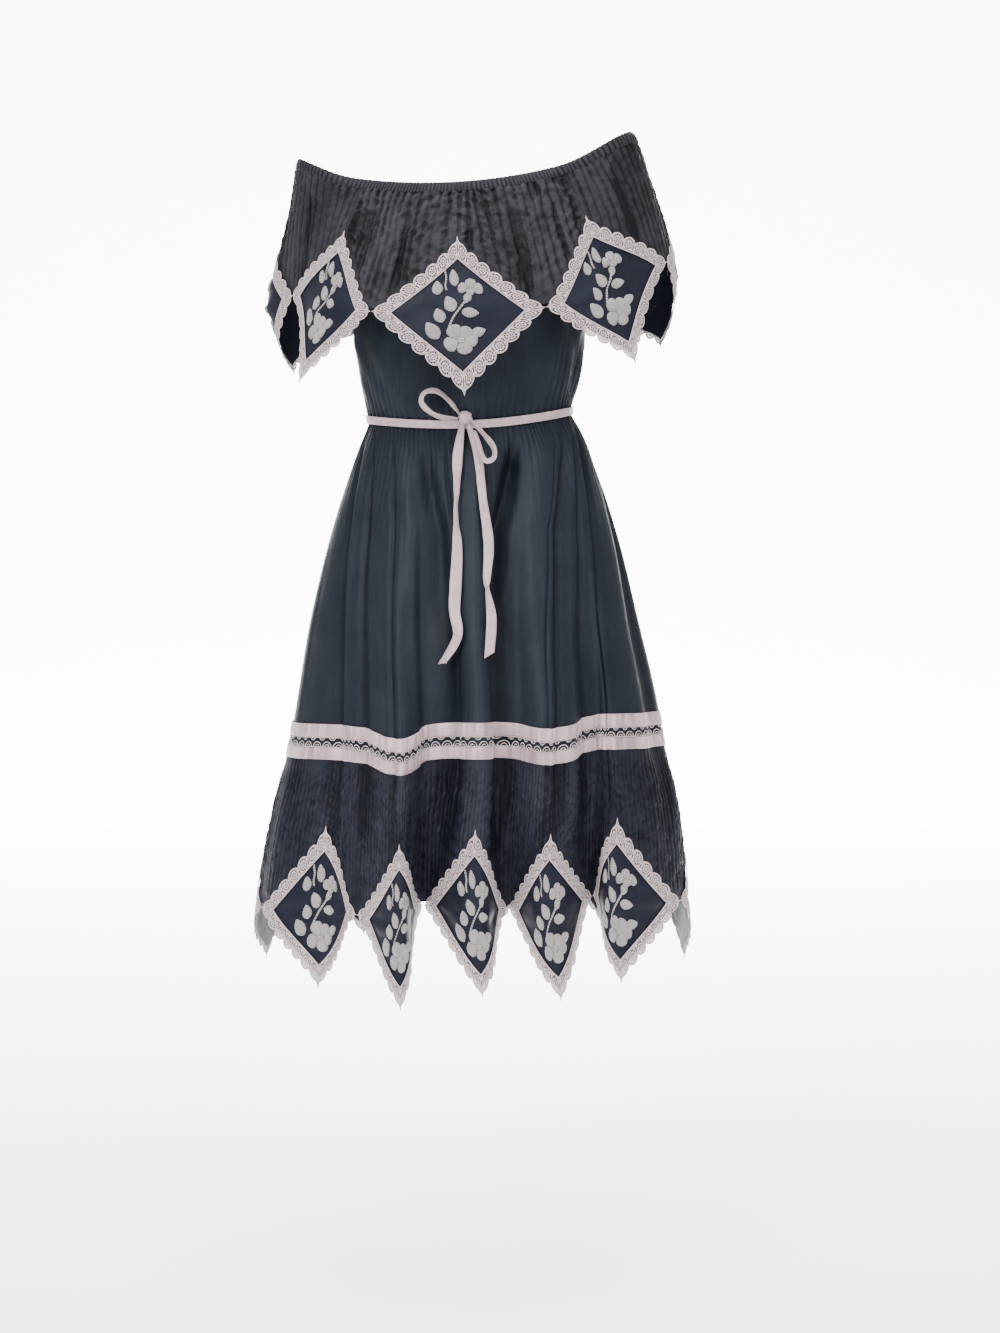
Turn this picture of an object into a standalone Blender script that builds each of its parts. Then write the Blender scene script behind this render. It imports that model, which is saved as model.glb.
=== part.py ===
"""Off-shoulder dress: flounce over a gathered bodice, full skirt, trim band, pleated tier, lace diamonds."""
import math

import bpy
import numpy as np

# Cloth thickness and how far apart the pieces lie, in metres
CLOTH = 0.0012
LACE = 0.0010
RIBBON = 0.0009
SEAM = 0.0003
LACE_LIFT = 0.0019
RIBBON_LIFT = 0.0016

# Neckline: edge height above the centre front, by eighths of the way round to the wearer's left
NECK_RISE = (0.000, 0.021, 0.072, 0.036, -0.004, 0.006, 0.041, 0.007)
NECK_LEFT = -0.213
NECK_RIGHT = 0.198
NECK_FRONT = -0.110
NECK_BACK = 0.090
# how far along the neckline each twelfth of the gathered cloth is drawn, as a share of the way round
NECK_DRAWN = (-0.010, -0.027, -0.048, -0.035, -0.021, -0.012, 0.000, 0.012, 0.023, 0.028, 0.043, 0.016)
CASING_TALL = 0.012
CASING_THICK = 0.0030
CASING_RUCHE = 0.0009

# Flounce
FLOUNCE_DIAMONDS = 6
FLOUNCE_CORNER = 0.155
FLOUNCE_SPREAD = 0.80
FLOUNCE_FOOT = 0.254
FLOUNCE_PLEAT = 0.0013
# rows of a flounce panel: how far down it they lie, and the share of the pleats' depth there
FLOUNCE_ROWS = ((0.0, 0.3), (0.33, 1.0), (0.68, 0.7), (1.0, 0.0))
# across, depth, height at the diamonds' side corners, for each twelfth of the way round
FLOUNCE_PLAN = (
    (-0.0145, -0.146, -0.155),
    (0.0890, -0.134, -0.151),
    (0.1650, -0.104, -0.121),
    (0.2385, -0.024, -0.088),
    (0.2500, 0.062, -0.104),
    (0.1250, 0.112, -0.140),
    (0.0000, 0.122, -0.156),
    (-0.1250, 0.112, -0.152),
    (-0.2560, 0.058, -0.140),
    (-0.2200, -0.014, -0.128),
    (-0.1740, -0.094, -0.139),
    (-0.1180, -0.134, -0.156),
)
# across, depth, height at the level of the diamonds' lower tips
FOOT_PLAN = (
    (-0.0072, -0.150, -0.253),
    (0.0950, -0.136, -0.246),
    (0.1970, -0.096, -0.213),
    (0.2320, -0.020, -0.182),
    (0.2360, 0.050, -0.186),
    (0.1220, 0.114, -0.234),
    (0.0000, 0.126, -0.253),
    (-0.1220, 0.114, -0.246),
    (-0.2240, 0.054, -0.219),
    (-0.2180, -0.016, -0.222),
    (-0.2060, -0.086, -0.236),
    (-0.1160, -0.132, -0.250),
)

# Diamonds: half width, height above and below the side corners, and the lace round them
DIAMOND_HALF = 0.1035
FLOUNCE_UP = 0.084
FLOUNCE_DOWN = 0.099
HEM_UP = 0.087
HEM_DOWN = 0.093
LACE_WIDE = 0.018
SCALLOP_DEEP = 0.0038
SCALLOPS = 7
LACE_TAIL = 0.004
PANEL_INSET = 0.0075

# Bodice rings: height, left, right, front, back
BODICE_RINGS = (
    (-0.290, -0.1250, 0.1180, -0.0960, 0.0900),
    (-0.265, -0.1320, 0.1230, -0.1060, 0.0990),
    (-0.230, -0.1390, 0.1310, -0.1130, 0.1050),
    (-0.180, -0.1460, 0.1400, -0.1190, 0.1090),
    (-0.120, -0.1520, 0.1470, -0.1200, 0.1070),
    (-0.060, -0.1560, 0.1510, -0.1130, 0.0990),
    (0.000, -0.1580, 0.1530, -0.1020, 0.0860),
)
ARMPIT = -0.165
BODICE_ROUND = 0.80
BODICE_GATHER = 0.0010
BODICE_COLUMNS = 44
# how far up from the waist each row of the bodice lies, as a share of its height
BODICE_ROWS = (1.0, 0.86, 0.58, 0.28, 0.0)
# where the neckline part of the bodice gives way to the armhole, from the middle of front or back
ARM_START = 0.115
ARM_END = 0.225

# Skirt rings: height, left, right, front, back, share of the hem folds
SKIRT_RINGS = (
    (-0.289, -0.1250, 0.1195, -0.0960, 0.0900, 0.00),
    (-0.320, -0.1380, 0.1390, -0.1170, 0.1180, 0.06),
    (-0.366, -0.1540, 0.1580, -0.1360, 0.1430, 0.14),
    (-0.440, -0.1760, 0.1820, -0.1590, 0.1700, 0.26),
    (-0.538, -0.1980, 0.2060, -0.1830, 0.1930, 0.43),
    (-0.653, -0.2150, 0.2320, -0.2060, 0.2110, 0.62),
    (-0.697, -0.2220, 0.2390, -0.2120, 0.2160, 0.70),
    (-0.743, -0.2340, 0.2510, -0.2170, 0.2200, 0.80),
    (-0.863, -0.2540, 0.2660, -0.2270, 0.2280, 1.00),
    (-0.960, -0.2600, 0.2710, -0.2320, 0.2330, 1.08),
)
# lift of a skirt ring, at quarters of the way round the waist and at twentieths round the band
WAIST_LIFT = (0.000, 0.020, 0.012, 0.009)
BAND_LIFT = (0.015, 0.011, 0.006, 0.016, 0.018, 0.014, 0.012, 0.010, 0.008, 0.007,
             0.006, 0.005, 0.004, 0.003, 0.001, 0.001, 0.004, 0.003, -0.005, 0.009)
WAIST = -0.289
BAND_TOP = -0.655
BAND_ROW = -0.6535
BAND_FOOT = -0.697
HEM_CORNER = -0.863
HEM_RING = 8
SKIRT_ROUND = 1.20
SKIRT_GATHER = 0.0012
GATHER_FALL = 0.09
SKIRT_COLUMNS = 70
# heights of the skirt's rows between the waist seam and the band
SKIRT_ROWS = (-0.315, -0.365, -0.445, -0.548)
HEM_DIAMONDS = 10
TIER_PLEAT = 0.0016
# rows of the tier: how far down it they lie, and the share of the pleats' depth there
TIER_ROWS = ((0.0, 0.6), (0.55, 1.0), (1.0, 0.0))
FOLD_ROUND = 0.72
# across, depth, lift and sideways lean of the hem's folds, at each twentieth of the way round
HEM_PLAN = (
    (0.0075, -0.250, 0.002, 0.08),
    (0.0440, -0.187, 0.000, 0.08),
    (0.0950, -0.234, -0.004, 0.14),
    (0.1450, -0.150, 0.009, 0.08),
    (0.1740, -0.180, 0.007, 0.06),
    (0.2540, -0.090, -0.006, 0.00),
    (0.2610, 0.012, 0.000, 0.00),
    (0.2220, 0.102, 0.003, 0.00),
    (0.1760, 0.194, -0.004, 0.05),
    (0.1060, 0.168, 0.004, 0.00),
    (0.0220, 0.238, -0.006, -0.05),
    (-0.0620, 0.178, 0.005, 0.00),
    (-0.1480, 0.212, -0.005, 0.04),
    (-0.2060, 0.116, 0.003, 0.00),
    (-0.2530, 0.020, 0.000, 0.00),
    (-0.2560, -0.086, -0.015, 0.00),
    (-0.1780, -0.160, -0.003, -0.03),
    (-0.1340, -0.186, -0.008, 0.00),
    (-0.0820, -0.252, -0.012, 0.00),
    (-0.0560, -0.186, 0.003, 0.04),
)

# Trim band on the skirt: top and foot of each strip
UPPER_RIBBON = (-0.6545, -0.6700)
INSERTION = (-0.6703, -0.6823)
LOWER_RIBBON = (-0.6826, -0.6968)

# Waist ribbon: width, how it lies, and the bow
BELT_TALL = 0.010
BELT_LIFT = 0.0026
KNOT_PLACE = (-0.0070, -0.1068, -0.2810)
KNOT_SIZE = (0.0082, 0.0050, 0.0080)
# across, depth, height, turn in degrees and width of the two loops
LEFT_LOOP = (
    (-0.0137, -0.1088, -0.2768, -55.0, 0.005),
    (-0.0260, -0.1190, -0.2610, -55.0, 0.009),
    (-0.0410, -0.1230, -0.2500, -55.0, 0.010),
    (-0.0550, -0.1240, -0.2515, -55.0, 0.010),
    (-0.0590, -0.1240, -0.2630, -55.0, 0.010),
    (-0.0490, -0.1220, -0.2750, -55.0, 0.010),
    (-0.0330, -0.1200, -0.2815, -55.0, 0.009),
    (-0.0158, -0.1090, -0.2825, -55.0, 0.005),
)
RIGHT_LOOP = (
    (0.0004, -0.1084, -0.2842, -55.0, 0.005),
    (0.0150, -0.1290, -0.3010, -55.0, 0.009),
    (0.0270, -0.1380, -0.3170, -55.0, 0.010),
    (0.0275, -0.1430, -0.3300, -55.0, 0.010),
    (0.0180, -0.1430, -0.3330, -55.0, 0.009),
    (0.0120, -0.1410, -0.3190, -55.0, 0.007),
    (0.0055, -0.1270, -0.2980, -55.0, 0.005),
)
# across, height, turn in degrees and width of the two hanging tails
LEFT_TAIL = (
    (-0.0105, -0.2888, 0.0, 0.006),
    (-0.0155, -0.3270, 0.0, 0.012),
    (-0.0165, -0.3670, 35.0, 0.008),
    (-0.0175, -0.3970, 50.0, 0.007),
    (-0.0155, -0.4370, 10.0, 0.012),
    (-0.0175, -0.4830, 0.0, 0.014),
    (-0.0185, -0.5100, -5.0, 0.013),
    (-0.0150, -0.5400, -25.0, 0.012),
    (-0.0330, -0.5720, -35.0, 0.009),
)
RIGHT_TAIL = (
    (-0.0032, -0.2888, 0.0, 0.006),
    (0.0085, -0.3270, 10.0, 0.010),
    (0.0145, -0.3780, 15.0, 0.010),
    (0.0215, -0.4310, 5.0, 0.012),
    (0.0195, -0.4730, -20.0, 0.009),
    (0.0205, -0.4870, -45.0, 0.007),
    (0.0250, -0.5200, 10.0, 0.012),
    (0.0225, -0.5620, 0.0, 0.011),
)
TAIL_CLEAR = 0.0035

NAVY = (0.030, 0.036, 0.047)
CRINKLED = (0.034, 0.038, 0.052)
PALE_LACE = (0.60, 0.52, 0.50)
PINK_RIBBON = (0.56, 0.46, 0.48)


def make_material(name, colour, roughness):
    """One plain material with its own colour and roughness."""
    material = bpy.data.materials.new(name)
    material.use_nodes = True
    shader = material.node_tree.nodes["Principled BSDF"]
    shader.inputs["Base Color"].default_value = (*colour, 1.0)
    shader.inputs["Roughness"].default_value = roughness
    shader.inputs["Metallic"].default_value = 0.0
    return material


def ease(low, high, value):
    """Rise smoothly from nought to one between two limits."""
    share = np.clip((value - low) / (high - low), 0.0, 1.0)
    return share * share * (3.0 - 2.0 * share)


def hermite(first, last, first_slope, last_slope, share):
    """Cubic between two values with a slope at each."""
    square = share * share
    cube = square * share
    from_first = 2.0 * cube - 3.0 * square + 1.0
    from_first_slope = cube - 2.0 * square + share
    from_last_slope = cube - square
    return (first * from_first + last * (1.0 - from_first)
            + first_slope * from_first_slope + last_slope * from_last_slope)


def round_curve(stations, share, roundness=0.5):
    """Closed smooth curve through evenly spaced stations, at a share of the way round."""
    stations = np.asarray(stations, float)
    count = len(stations)
    slopes = roundness * (np.roll(stations, -1, axis=0) - np.roll(stations, 1, axis=0))
    place = np.mod(np.asarray(share, float), 1.0) * count
    low = np.floor(place).astype(int) % count
    high = (low + 1) % count
    part = place - np.floor(place)
    if stations.ndim == 2:
        part = part[..., None]
    return hermite(stations[low], stations[high], slopes[low], slopes[high], part)


def level_curve(levels, values, at):
    """Smooth curve through values given at rising levels."""
    levels = np.asarray(levels, float)
    values = np.asarray(values, float)
    slopes = np.gradient(values, levels)
    low = np.clip(np.searchsorted(levels, at) - 1, 0, len(levels) - 2)
    gap = levels[low + 1] - levels[low]
    part = np.clip((at - levels[low]) / gap, -0.5, 1.5)
    return hermite(values[low], values[low + 1], slopes[low] * gap, slopes[low + 1] * gap, part)


def oval_by_length(left, right, front, back, samples=1440):
    """Points of an oval plan, evenly spaced along its edge from the front."""
    angle = np.linspace(0.0, 2.0 * math.pi, samples * 2 + 1)
    across = (right + left) / 2 + (right - left) / 2 * np.sin(angle)
    depth = np.where(np.cos(angle) > 0.0, front * np.cos(angle), -back * np.cos(angle))
    length = np.concatenate(([0.0], np.cumsum(np.hypot(np.diff(across), np.diff(depth)))))
    where = np.linspace(0.0, 1.0, samples + 1) * length[-1]
    return np.stack([np.interp(where, length, across), np.interp(where, length, depth)], axis=-1)


NECK_OVAL = oval_by_length(NECK_LEFT, NECK_RIGHT, NECK_FRONT, NECK_BACK)
HEM_OVAL = oval_by_length(-1.0, 1.0, -1.0, 1.0)


def sample_round(points, share):
    """Read an evenly spaced closed outline at a share of the way round."""
    place = np.mod(np.asarray(share, float), 1.0) * (len(points) - 1)
    low = np.minimum(np.floor(place).astype(int), len(points) - 2)
    part = (place - low)[..., None]
    return points[low] * (1.0 - part) + points[low + 1] * part


def flounce_surface(share, down):
    """Middle of the flounce cloth, by share of the way round and distance below the neckline."""
    share = np.asarray(share, float)
    down = np.asarray(down, float)
    place = share + round_curve(NECK_DRAWN, share)
    neck = sample_round(NECK_OVAL, place)
    rise = round_curve(NECK_RISE, place - NECK_DRAWN[0])
    corner = round_curve(FLOUNCE_PLAN, share)
    foot = round_curve(FOOT_PLAN, share)
    fall = np.clip(down / FLOUNCE_CORNER, 0.0, 1.0)
    spread = (fall ** FLOUNCE_SPREAD)[..., None]
    below = np.clip((down - FLOUNCE_CORNER) / (FLOUNCE_FOOT - FLOUNCE_CORNER), 0.0, 1.1)
    plan = neck + (corner[..., :2] - neck) * spread + (foot - corner)[..., :2] * below[..., None]
    height = rise + (corner[..., 2] - rise) * fall + (foot - corner)[..., 2] * below
    return np.concatenate([plan, height[..., None]], axis=-1)


def bodice_surface(share, height):
    """Middle of the bodice cloth, by share of the way round and height."""
    share = np.asarray(share, float)
    height = np.asarray(height, float)
    rings = np.asarray(BODICE_RINGS)
    left, right, front, back = (level_curve(rings[:, 0], rings[:, k], height) for k in range(1, 5))
    unit = sample_round(HEM_OVAL, share)
    across = (right + left) / 2 + (right - left) / 2 * unit[..., 0]
    depth = np.where(unit[..., 1] < 0.0, -front * unit[..., 1], back * unit[..., 1])
    return np.stack([across, depth, height], axis=-1)


def skirt_surface(share, height):
    """Middle of the skirt and tier cloth with its hanging folds."""
    share = np.asarray(share, float)
    height = np.asarray(height, float)
    rings = np.asarray(SKIRT_RINGS)[::-1]
    left, right, front, back, fold = (level_curve(rings[:, 0], rings[:, k], height) for k in range(1, 6))
    unit = sample_round(HEM_OVAL, share)
    across = (right + left) / 2 + (right - left) / 2 * unit[..., 0]
    depth = np.where(unit[..., 1] < 0.0, -front * unit[..., 1], back * unit[..., 1])
    hem = SKIRT_RINGS[HEM_RING]
    hem_across = (hem[2] + hem[1]) / 2 + (hem[2] - hem[1]) / 2 * unit[..., 0]
    hem_depth = np.where(unit[..., 1] < 0.0, -hem[3] * unit[..., 1], hem[4] * unit[..., 1])
    folded = round_curve(HEM_PLAN, share, FOLD_ROUND)
    to_band = ease(WAIST, BAND_TOP, height)
    to_hem = ease(BAND_FOOT, HEM_CORNER, height)
    lean = folded[..., 3] * (HEM_CORNER - height) * to_hem
    across = across + fold * (folded[..., 0] - hem_across) + lean
    depth = depth + fold * (folded[..., 1] - hem_depth)
    lift = (round_curve(WAIST_LIFT, share) * (1.0 - to_band)
            + round_curve(BAND_LIFT, share) * to_band * (1.0 - to_hem) + folded[..., 2] * to_hem)
    return np.stack([across, depth, height + lift], axis=-1)


def moved_out(surface, share, level, out):
    """Points of a surface moved level, square to the cloth, away from the body."""
    step = 0.0005
    along = surface(share + step, level) - surface(share - step, level)
    points = surface(share, level)
    reach = np.asarray(out, float) / np.hypot(along[..., 0], along[..., 1])
    points[..., 0] += along[..., 1] * reach
    points[..., 1] -= along[..., 0] * reach
    return points


def add_object(name, points, faces, material):
    """One named, smoothly shaded piece."""
    mesh = bpy.data.meshes.new(name)
    mesh.from_pydata([tuple(map(float, point)) for point in points], [], faces)
    mesh.validate()
    mesh.materials.append(material)
    mesh.polygons.foreach_set("use_smooth", [True] * len(mesh.polygons))
    piece = bpy.data.objects.new(name, mesh)
    bpy.context.scene.collection.objects.link(piece)
    return piece


def add_wall(name, outer, inner, faces, material):
    """Close two matching layers of points into one wall; faces run anticlockwise from outside."""
    count = len(outer)
    edges = {}
    for face in faces:
        for first, second in zip(face, face[1:] + face[:1]):
            edges[(first, second)] = True
    rim = []
    for a, b in edges:
        if (b, a) in edges:
            continue
        if tuple(outer[a]) < tuple(outer[b]):
            rim += [(b, a, b + count), (a, a + count, b + count)]
        else:
            rim += [(b, a, a + count), (b, a + count, b + count)]
    back = [tuple(i + count for i in reversed(face)) for face in faces]
    return add_object(name, list(outer) + list(inner), list(faces) + back + rim, material)


def split(a, b, c, d):
    """The two triangles of a four-sided face."""
    return [(a, b, c), (a, c, d)]


def grid_faces(columns, rows, closed=False):
    """Faces of a grid stored row by row from the top, as seen from outside."""
    across = columns if closed else columns + 1
    faces = []
    for row in range(rows):
        for column in range(columns):
            left = row * across + column
            right = row * across + (column + 1) % across
            faces += split(left + across, right + across, right, left)
    return faces


def inset_line(half, tall, inset, x):
    """Height at x of a diamond's straight side moved in by the inset."""
    reach = math.hypot(half, tall)
    return tall * (1.0 - x / half) - inset * reach / half


def inset_corner(half, tall, other, inset):
    """Side corner of a diamond whose sides are all moved in by the inset."""
    upper = inset * math.hypot(half, tall) / (half * tall)
    lower = inset * math.hypot(half, other) / (half * other)
    height = (lower - upper) / (1.0 / tall + 1.0 / other)
    return half * (1.0 - upper - height / tall), height


def cloth_edge(places, up):
    """Height above the side corners at which pleated cloth stops over the diamonds."""
    line = inset_line(DIAMOND_HALF, up, PANEL_INSET - SEAM, np.abs(places))
    return np.maximum(line, 0.004)


def diamond_columns():
    """Places across half a diamond where its cloth and lace have their points."""
    return [DIAMOND_HALF * i / SCALLOPS for i in range(SCALLOPS + 1)]


def panel_pattern(up, down):
    """Plain panel of a diamond: points (across, above the side corners) and faces."""
    corner = inset_corner(DIAMOND_HALF, up, down, PANEL_INSET)
    columns = diamond_columns()[:-1]
    side = [x for x in columns if x < corner[0] - 0.002]
    across = [-x for x in reversed(side[1:])] + side
    points = []
    for x in across:
        top = inset_line(DIAMOND_HALF, up, PANEL_INSET, abs(x))
        foot = -inset_line(DIAMOND_HALF, down, PANEL_INSET, abs(x))
        points += [(x, top), (x, (top + foot) / 2), (x, foot)]
    faces = []
    for i in range(len(across) - 1):
        a = 3 * i
        b = a + 3
        faces += split(a + 1, b + 1, b, a) + split(a + 2, b + 2, b + 1, a + 1)
    left = len(points)
    right = left + 1
    last = left - 3
    points += [(-corner[0], corner[1]), (corner[0], corner[1])]
    faces += [(left, 1, 0), (left, 2, 1), (right, last, last + 1), (right, last + 1, last + 2)]
    return np.array(points), faces


def lace_pattern(up, down):
    """Scalloped lace frame of a diamond: points and faces."""
    inner_corner = inset_corner(DIAMOND_HALF, up, down, LACE_WIDE)
    columns = diamond_columns()
    inner_side = [x for x in columns if x < inner_corner[0] - 0.004]
    quarters = []
    for side_up, sign_x, sign_y in ((up, 1, 1), (down, 1, -1), (down, -1, -1), (up, -1, 1)):
        inner = [(x * sign_x, sign_y * inset_line(DIAMOND_HALF, side_up, LACE_WIDE, x)) for x in inner_side]
        while len(inner) <= SCALLOPS:
            inner.append((sign_x * inner_corner[0], inner_corner[1]))
        tip = side_up + LACE_TAIL
        outer = [(0.0, sign_y * tip)]
        for i in range(SCALLOPS):
            middle = (columns[i] + columns[i + 1]) / 2
            outer.append((middle * sign_x, sign_y * inset_line(DIAMOND_HALF, side_up, 0.0, middle)))
            if i < SCALLOPS - 1:
                valley = columns[i + 1]
                outer.append((valley * sign_x,
                              sign_y * inset_line(DIAMOND_HALF, side_up, SCALLOP_DEEP, valley)))
        outer.append((sign_x * (DIAMOND_HALF - SEAM / 2), 0.0))
        if sign_x * sign_y < 0:
            inner.reverse()
            outer.reverse()
        quarters.append((inner, outer))
    points = []
    places = {}

    def number(point):
        key = (round(point[0], 7), round(point[1], 7))
        if key not in places:
            places[key] = len(points)
            points.append(point)
        return places[key]

    faces = []
    for inner, outer in quarters:
        for i in range(SCALLOPS):
            corners = [number(inner[i]), number(inner[i + 1])]
            rim = [number(outer[2 * i]), number(outer[2 * i + 1]), number(outer[2 * i + 2])]
            faces.append((corners[0], rim[1], rim[0]))
            faces.append((corners[1], rim[2], rim[1]))
            if corners[0] != corners[1]:
                faces.append((corners[0], corners[1], rim[1]))
    return np.array(points), faces


def place_pattern(surface, points, centre_share, count, corner_level, out):
    """Lay a flat pattern on the flounce or the skirt and move it out."""
    share = centre_share + points[:, 0] / (2.0 * DIAMOND_HALF * count)
    if surface is flounce_surface:
        level = corner_level - points[:, 1]
    else:
        level = corner_level + points[:, 1]
    return moved_out(surface, share, level, np.full(len(points), out))


def add_diamonds(surface, count, corner_level, up, down, label, panel_cloth, lace):
    """All the diamonds of one edge: a plain panel and a lace frame each."""
    panel_points, panel_faces = panel_pattern(up, down)
    lace_points, lace_faces = lace_pattern(up, down)
    for number in range(count):
        share = number / count
        lays = [place_pattern(surface, panel_points, share, count, corner_level, out)
                for out in (CLOTH / 2, -CLOTH / 2)]
        add_wall(f"{label}_panel_{number + 1}", lays[0], lays[1], panel_faces, panel_cloth)
        lays = [place_pattern(surface, lace_points, share, count, corner_level, out)
                for out in (LACE_LIFT + LACE, LACE_LIFT)]
        add_wall(f"{label}_lace_{number + 1}", lays[0], lays[1], lace_faces, lace)


def add_casing(cloth):
    """Ruched neck casing over its elastic."""
    columns = FLOUNCE_DIAMONDS * 2 * SCALLOPS
    share = np.arange(columns) / columns
    ruche = CASING_RUCHE * np.cos(math.pi * np.arange(columns))
    outer = []
    inner = []
    for down, swell in ((0.0, 0.0), (CASING_TALL / 2, 0.0010), (CASING_TALL, 0.0)):
        level = np.full(columns, down)
        outer.append(moved_out(flounce_surface, share, level, CASING_THICK / 2 + swell + ruche))
        inner.append(moved_out(flounce_surface, share, level, -CASING_THICK / 2 + ruche * 0.3))
    add_wall("neck_casing", np.concatenate(outer), np.concatenate(inner), grid_faces(columns, 2, True), cloth)


def add_flounce(cloth):
    """Four pleated panels from the casing to the zigzag seam over the diamonds."""
    per = 2 * SCALLOPS
    total = FLOUNCE_DIAMONDS * per
    round_cut = 2 * DIAMOND_HALF * FLOUNCE_DIAMONDS
    panels = (("front", -per, per), ("right", per, 2 * per),
              ("back", 2 * per, 4 * per), ("left", 4 * per, 5 * per))
    for label, first, last in panels:
        column = np.arange(first, last + 1)
        share = column / total
        share[0] += SEAM / 2 / round_cut
        share[-1] -= SEAM / 2 / round_cut
        across = (np.mod(share * FLOUNCE_DIAMONDS + 0.5, 1.0) - 0.5) * 2 * DIAMOND_HALF
        foot = FLOUNCE_CORNER - cloth_edge(across, FLOUNCE_UP)
        outer = []
        inner = []
        for part, pleat in FLOUNCE_ROWS:
            down = CASING_TALL + SEAM + part * (foot - CASING_TALL - SEAM)
            out = FLOUNCE_PLEAT * pleat * np.cos(math.pi * column)
            outer.append(moved_out(flounce_surface, share, down, out + CLOTH / 2))
            inner.append(moved_out(flounce_surface, share, down, out - CLOTH / 2))
        faces = grid_faces(len(column) - 1, len(FLOUNCE_ROWS) - 1)
        add_wall(f"flounce_{label}", np.concatenate(outer), np.concatenate(inner), faces, cloth)


def waist_height(share):
    """Height of the waist seam."""
    return WAIST + round_curve(WAIST_LIFT, share)


def add_bodice(cloth):
    """Front and back of the bodice, from the waist seam to the casing, with an armhole each side."""
    for label, first in (("front", -0.25), ("back", 0.25)):
        share = np.linspace(first, first + 0.5, BODICE_COLUMNS // 2 + 1)
        share[0] += SEAM / 2 / BODICE_ROUND
        share[-1] -= SEAM / 2 / BODICE_ROUND
        column = np.arange(len(share))
        from_middle = np.abs(share - first - 0.25)
        arm = ease(ARM_START, ARM_END, from_middle)
        neck = moved_out(flounce_surface, share, np.full(len(share), CASING_TALL + 0.001),
                         np.full(len(share), -0.0032))
        top = neck[:, 2] * (1.0 - arm) + ARMPIT * arm
        foot = waist_height(share) + SEAM / 2
        layers = ([], [])
        for part in BODICE_ROWS:
            height = foot + part * (top - foot)
            gather = BODICE_GATHER * (1.0 - part) * np.cos(math.pi * column)
            to_neck = (1.0 - arm) * ease(0.5, 1.0, np.full(len(share), part))
            for layer, side in zip(layers, (CLOTH / 2, -CLOTH / 2)):
                body = moved_out(bodice_surface, share, height, gather + side)
                rim = neck.copy()
                rim[:, 2] = body[:, 2]
                towards = side * rim[:, :2] / np.linalg.norm(rim[:, :2], axis=1, keepdims=True)
                rim[:, :2] += towards
                body += (rim - body) * to_neck[:, None]
                layer.append(body)
        faces = grid_faces(len(share) - 1, len(BODICE_ROWS) - 1)
        add_wall(f"bodice_{label}", np.concatenate(layers[0]), np.concatenate(layers[1]), faces, cloth)


def skirt_gather(column, height):
    """Small gathers that fade out below the waist."""
    return SKIRT_GATHER * (1.0 - ease(0.0, GATHER_FALL, WAIST - height)) * np.cos(math.pi * column)


def add_skirt(cloth):
    """Front and back of the upper skirt, from the waist seam to the tier seam."""
    half = SKIRT_COLUMNS // 2
    for label, first in (("front", -0.25), ("back", 0.25)):
        share = np.linspace(first, first + 0.5, half + 1)
        share[0] += SEAM / 2 / SKIRT_ROUND
        share[-1] -= SEAM / 2 / SKIRT_ROUND
        column = np.arange(half + 1)
        layers = ([], [])
        for height in (WAIST - SEAM / 2, *SKIRT_ROWS, BAND_ROW, BAND_FOOT):
            level = np.full(half + 1, height)
            out = skirt_gather(column, height)
            for layer, side in zip(layers, (CLOTH / 2, -CLOTH / 2)):
                layer.append(moved_out(skirt_surface, share, level, out + side))
        faces = grid_faces(half, len(SKIRT_ROWS) + 2)
        add_wall(f"skirt_{label}", np.concatenate(layers[0]), np.concatenate(layers[1]), faces, cloth)


def add_strip_round(name, top, foot, lift, thick, material):
    """A strip that lies round the foot of the skirt, made from the skirt's own points."""
    share = -0.25 + np.arange(SKIRT_COLUMNS) / SKIRT_COLUMNS
    layers = ([], [])
    for layer, out in zip(layers, (lift + thick, lift)):
        distance = np.full(SKIRT_COLUMNS, out)
        above = moved_out(skirt_surface, share, np.full(SKIRT_COLUMNS, BAND_ROW), distance)
        below = moved_out(skirt_surface, share, np.full(SKIRT_COLUMNS, BAND_FOOT), distance)
        for height in (top, foot):
            part = (BAND_ROW - height) / (BAND_ROW - BAND_FOOT)
            layer.append(above + (below - above) * part)
    faces = grid_faces(SKIRT_COLUMNS, 1, True)
    add_wall(name, np.concatenate(layers[0]), np.concatenate(layers[1]), faces, material)


def add_tier(cloth):
    """Front and back of the pleated tier, from its seam to the zigzag over the hem diamonds."""
    per = 2 * SCALLOPS
    total = HEM_DIAMONDS * per
    round_cut = 2 * DIAMOND_HALF * HEM_DIAMONDS
    for label, first, last in (("front", -total // 4, total // 4), ("back", total // 4, 3 * total // 4)):
        column = np.arange(first, last + 1)
        share = column / total
        share[0] += SEAM / 2 / round_cut
        share[-1] -= SEAM / 2 / round_cut
        across = (np.mod(share * HEM_DIAMONDS + 0.5, 1.0) - 0.5) * 2 * DIAMOND_HALF
        foot = HEM_CORNER + cloth_edge(across, HEM_UP)
        top = BAND_FOOT - SEAM
        layers = ([], [])
        for part, pleat in TIER_ROWS:
            height = top + part * (foot - top)
            out = TIER_PLEAT * pleat * np.cos(math.pi * column)
            for layer, side in zip(layers, (CLOTH / 2, -CLOTH / 2)):
                layer.append(moved_out(skirt_surface, share, height, out + side))
        faces = grid_faces(len(column) - 1, len(TIER_ROWS) - 1)
        add_wall(f"tier_{label}", np.concatenate(layers[0]), np.concatenate(layers[1]), faces, cloth)


def skirt_front(across, height, reach=0.012):
    """Foremost depth of the skirt or bodice near a place."""
    share = np.linspace(-0.14, 0.14, 281)
    depths = []
    for level in (height - 0.01, height, height + 0.01):
        if level > WAIST:
            points = bodice_surface(share, np.full(len(share), level))
        else:
            points = skirt_surface(share, np.full(len(share), level))
        near = points[np.abs(points[:, 0] - across) < reach]
        depths.append(near[:, 1].min())
    return min(depths)


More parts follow.
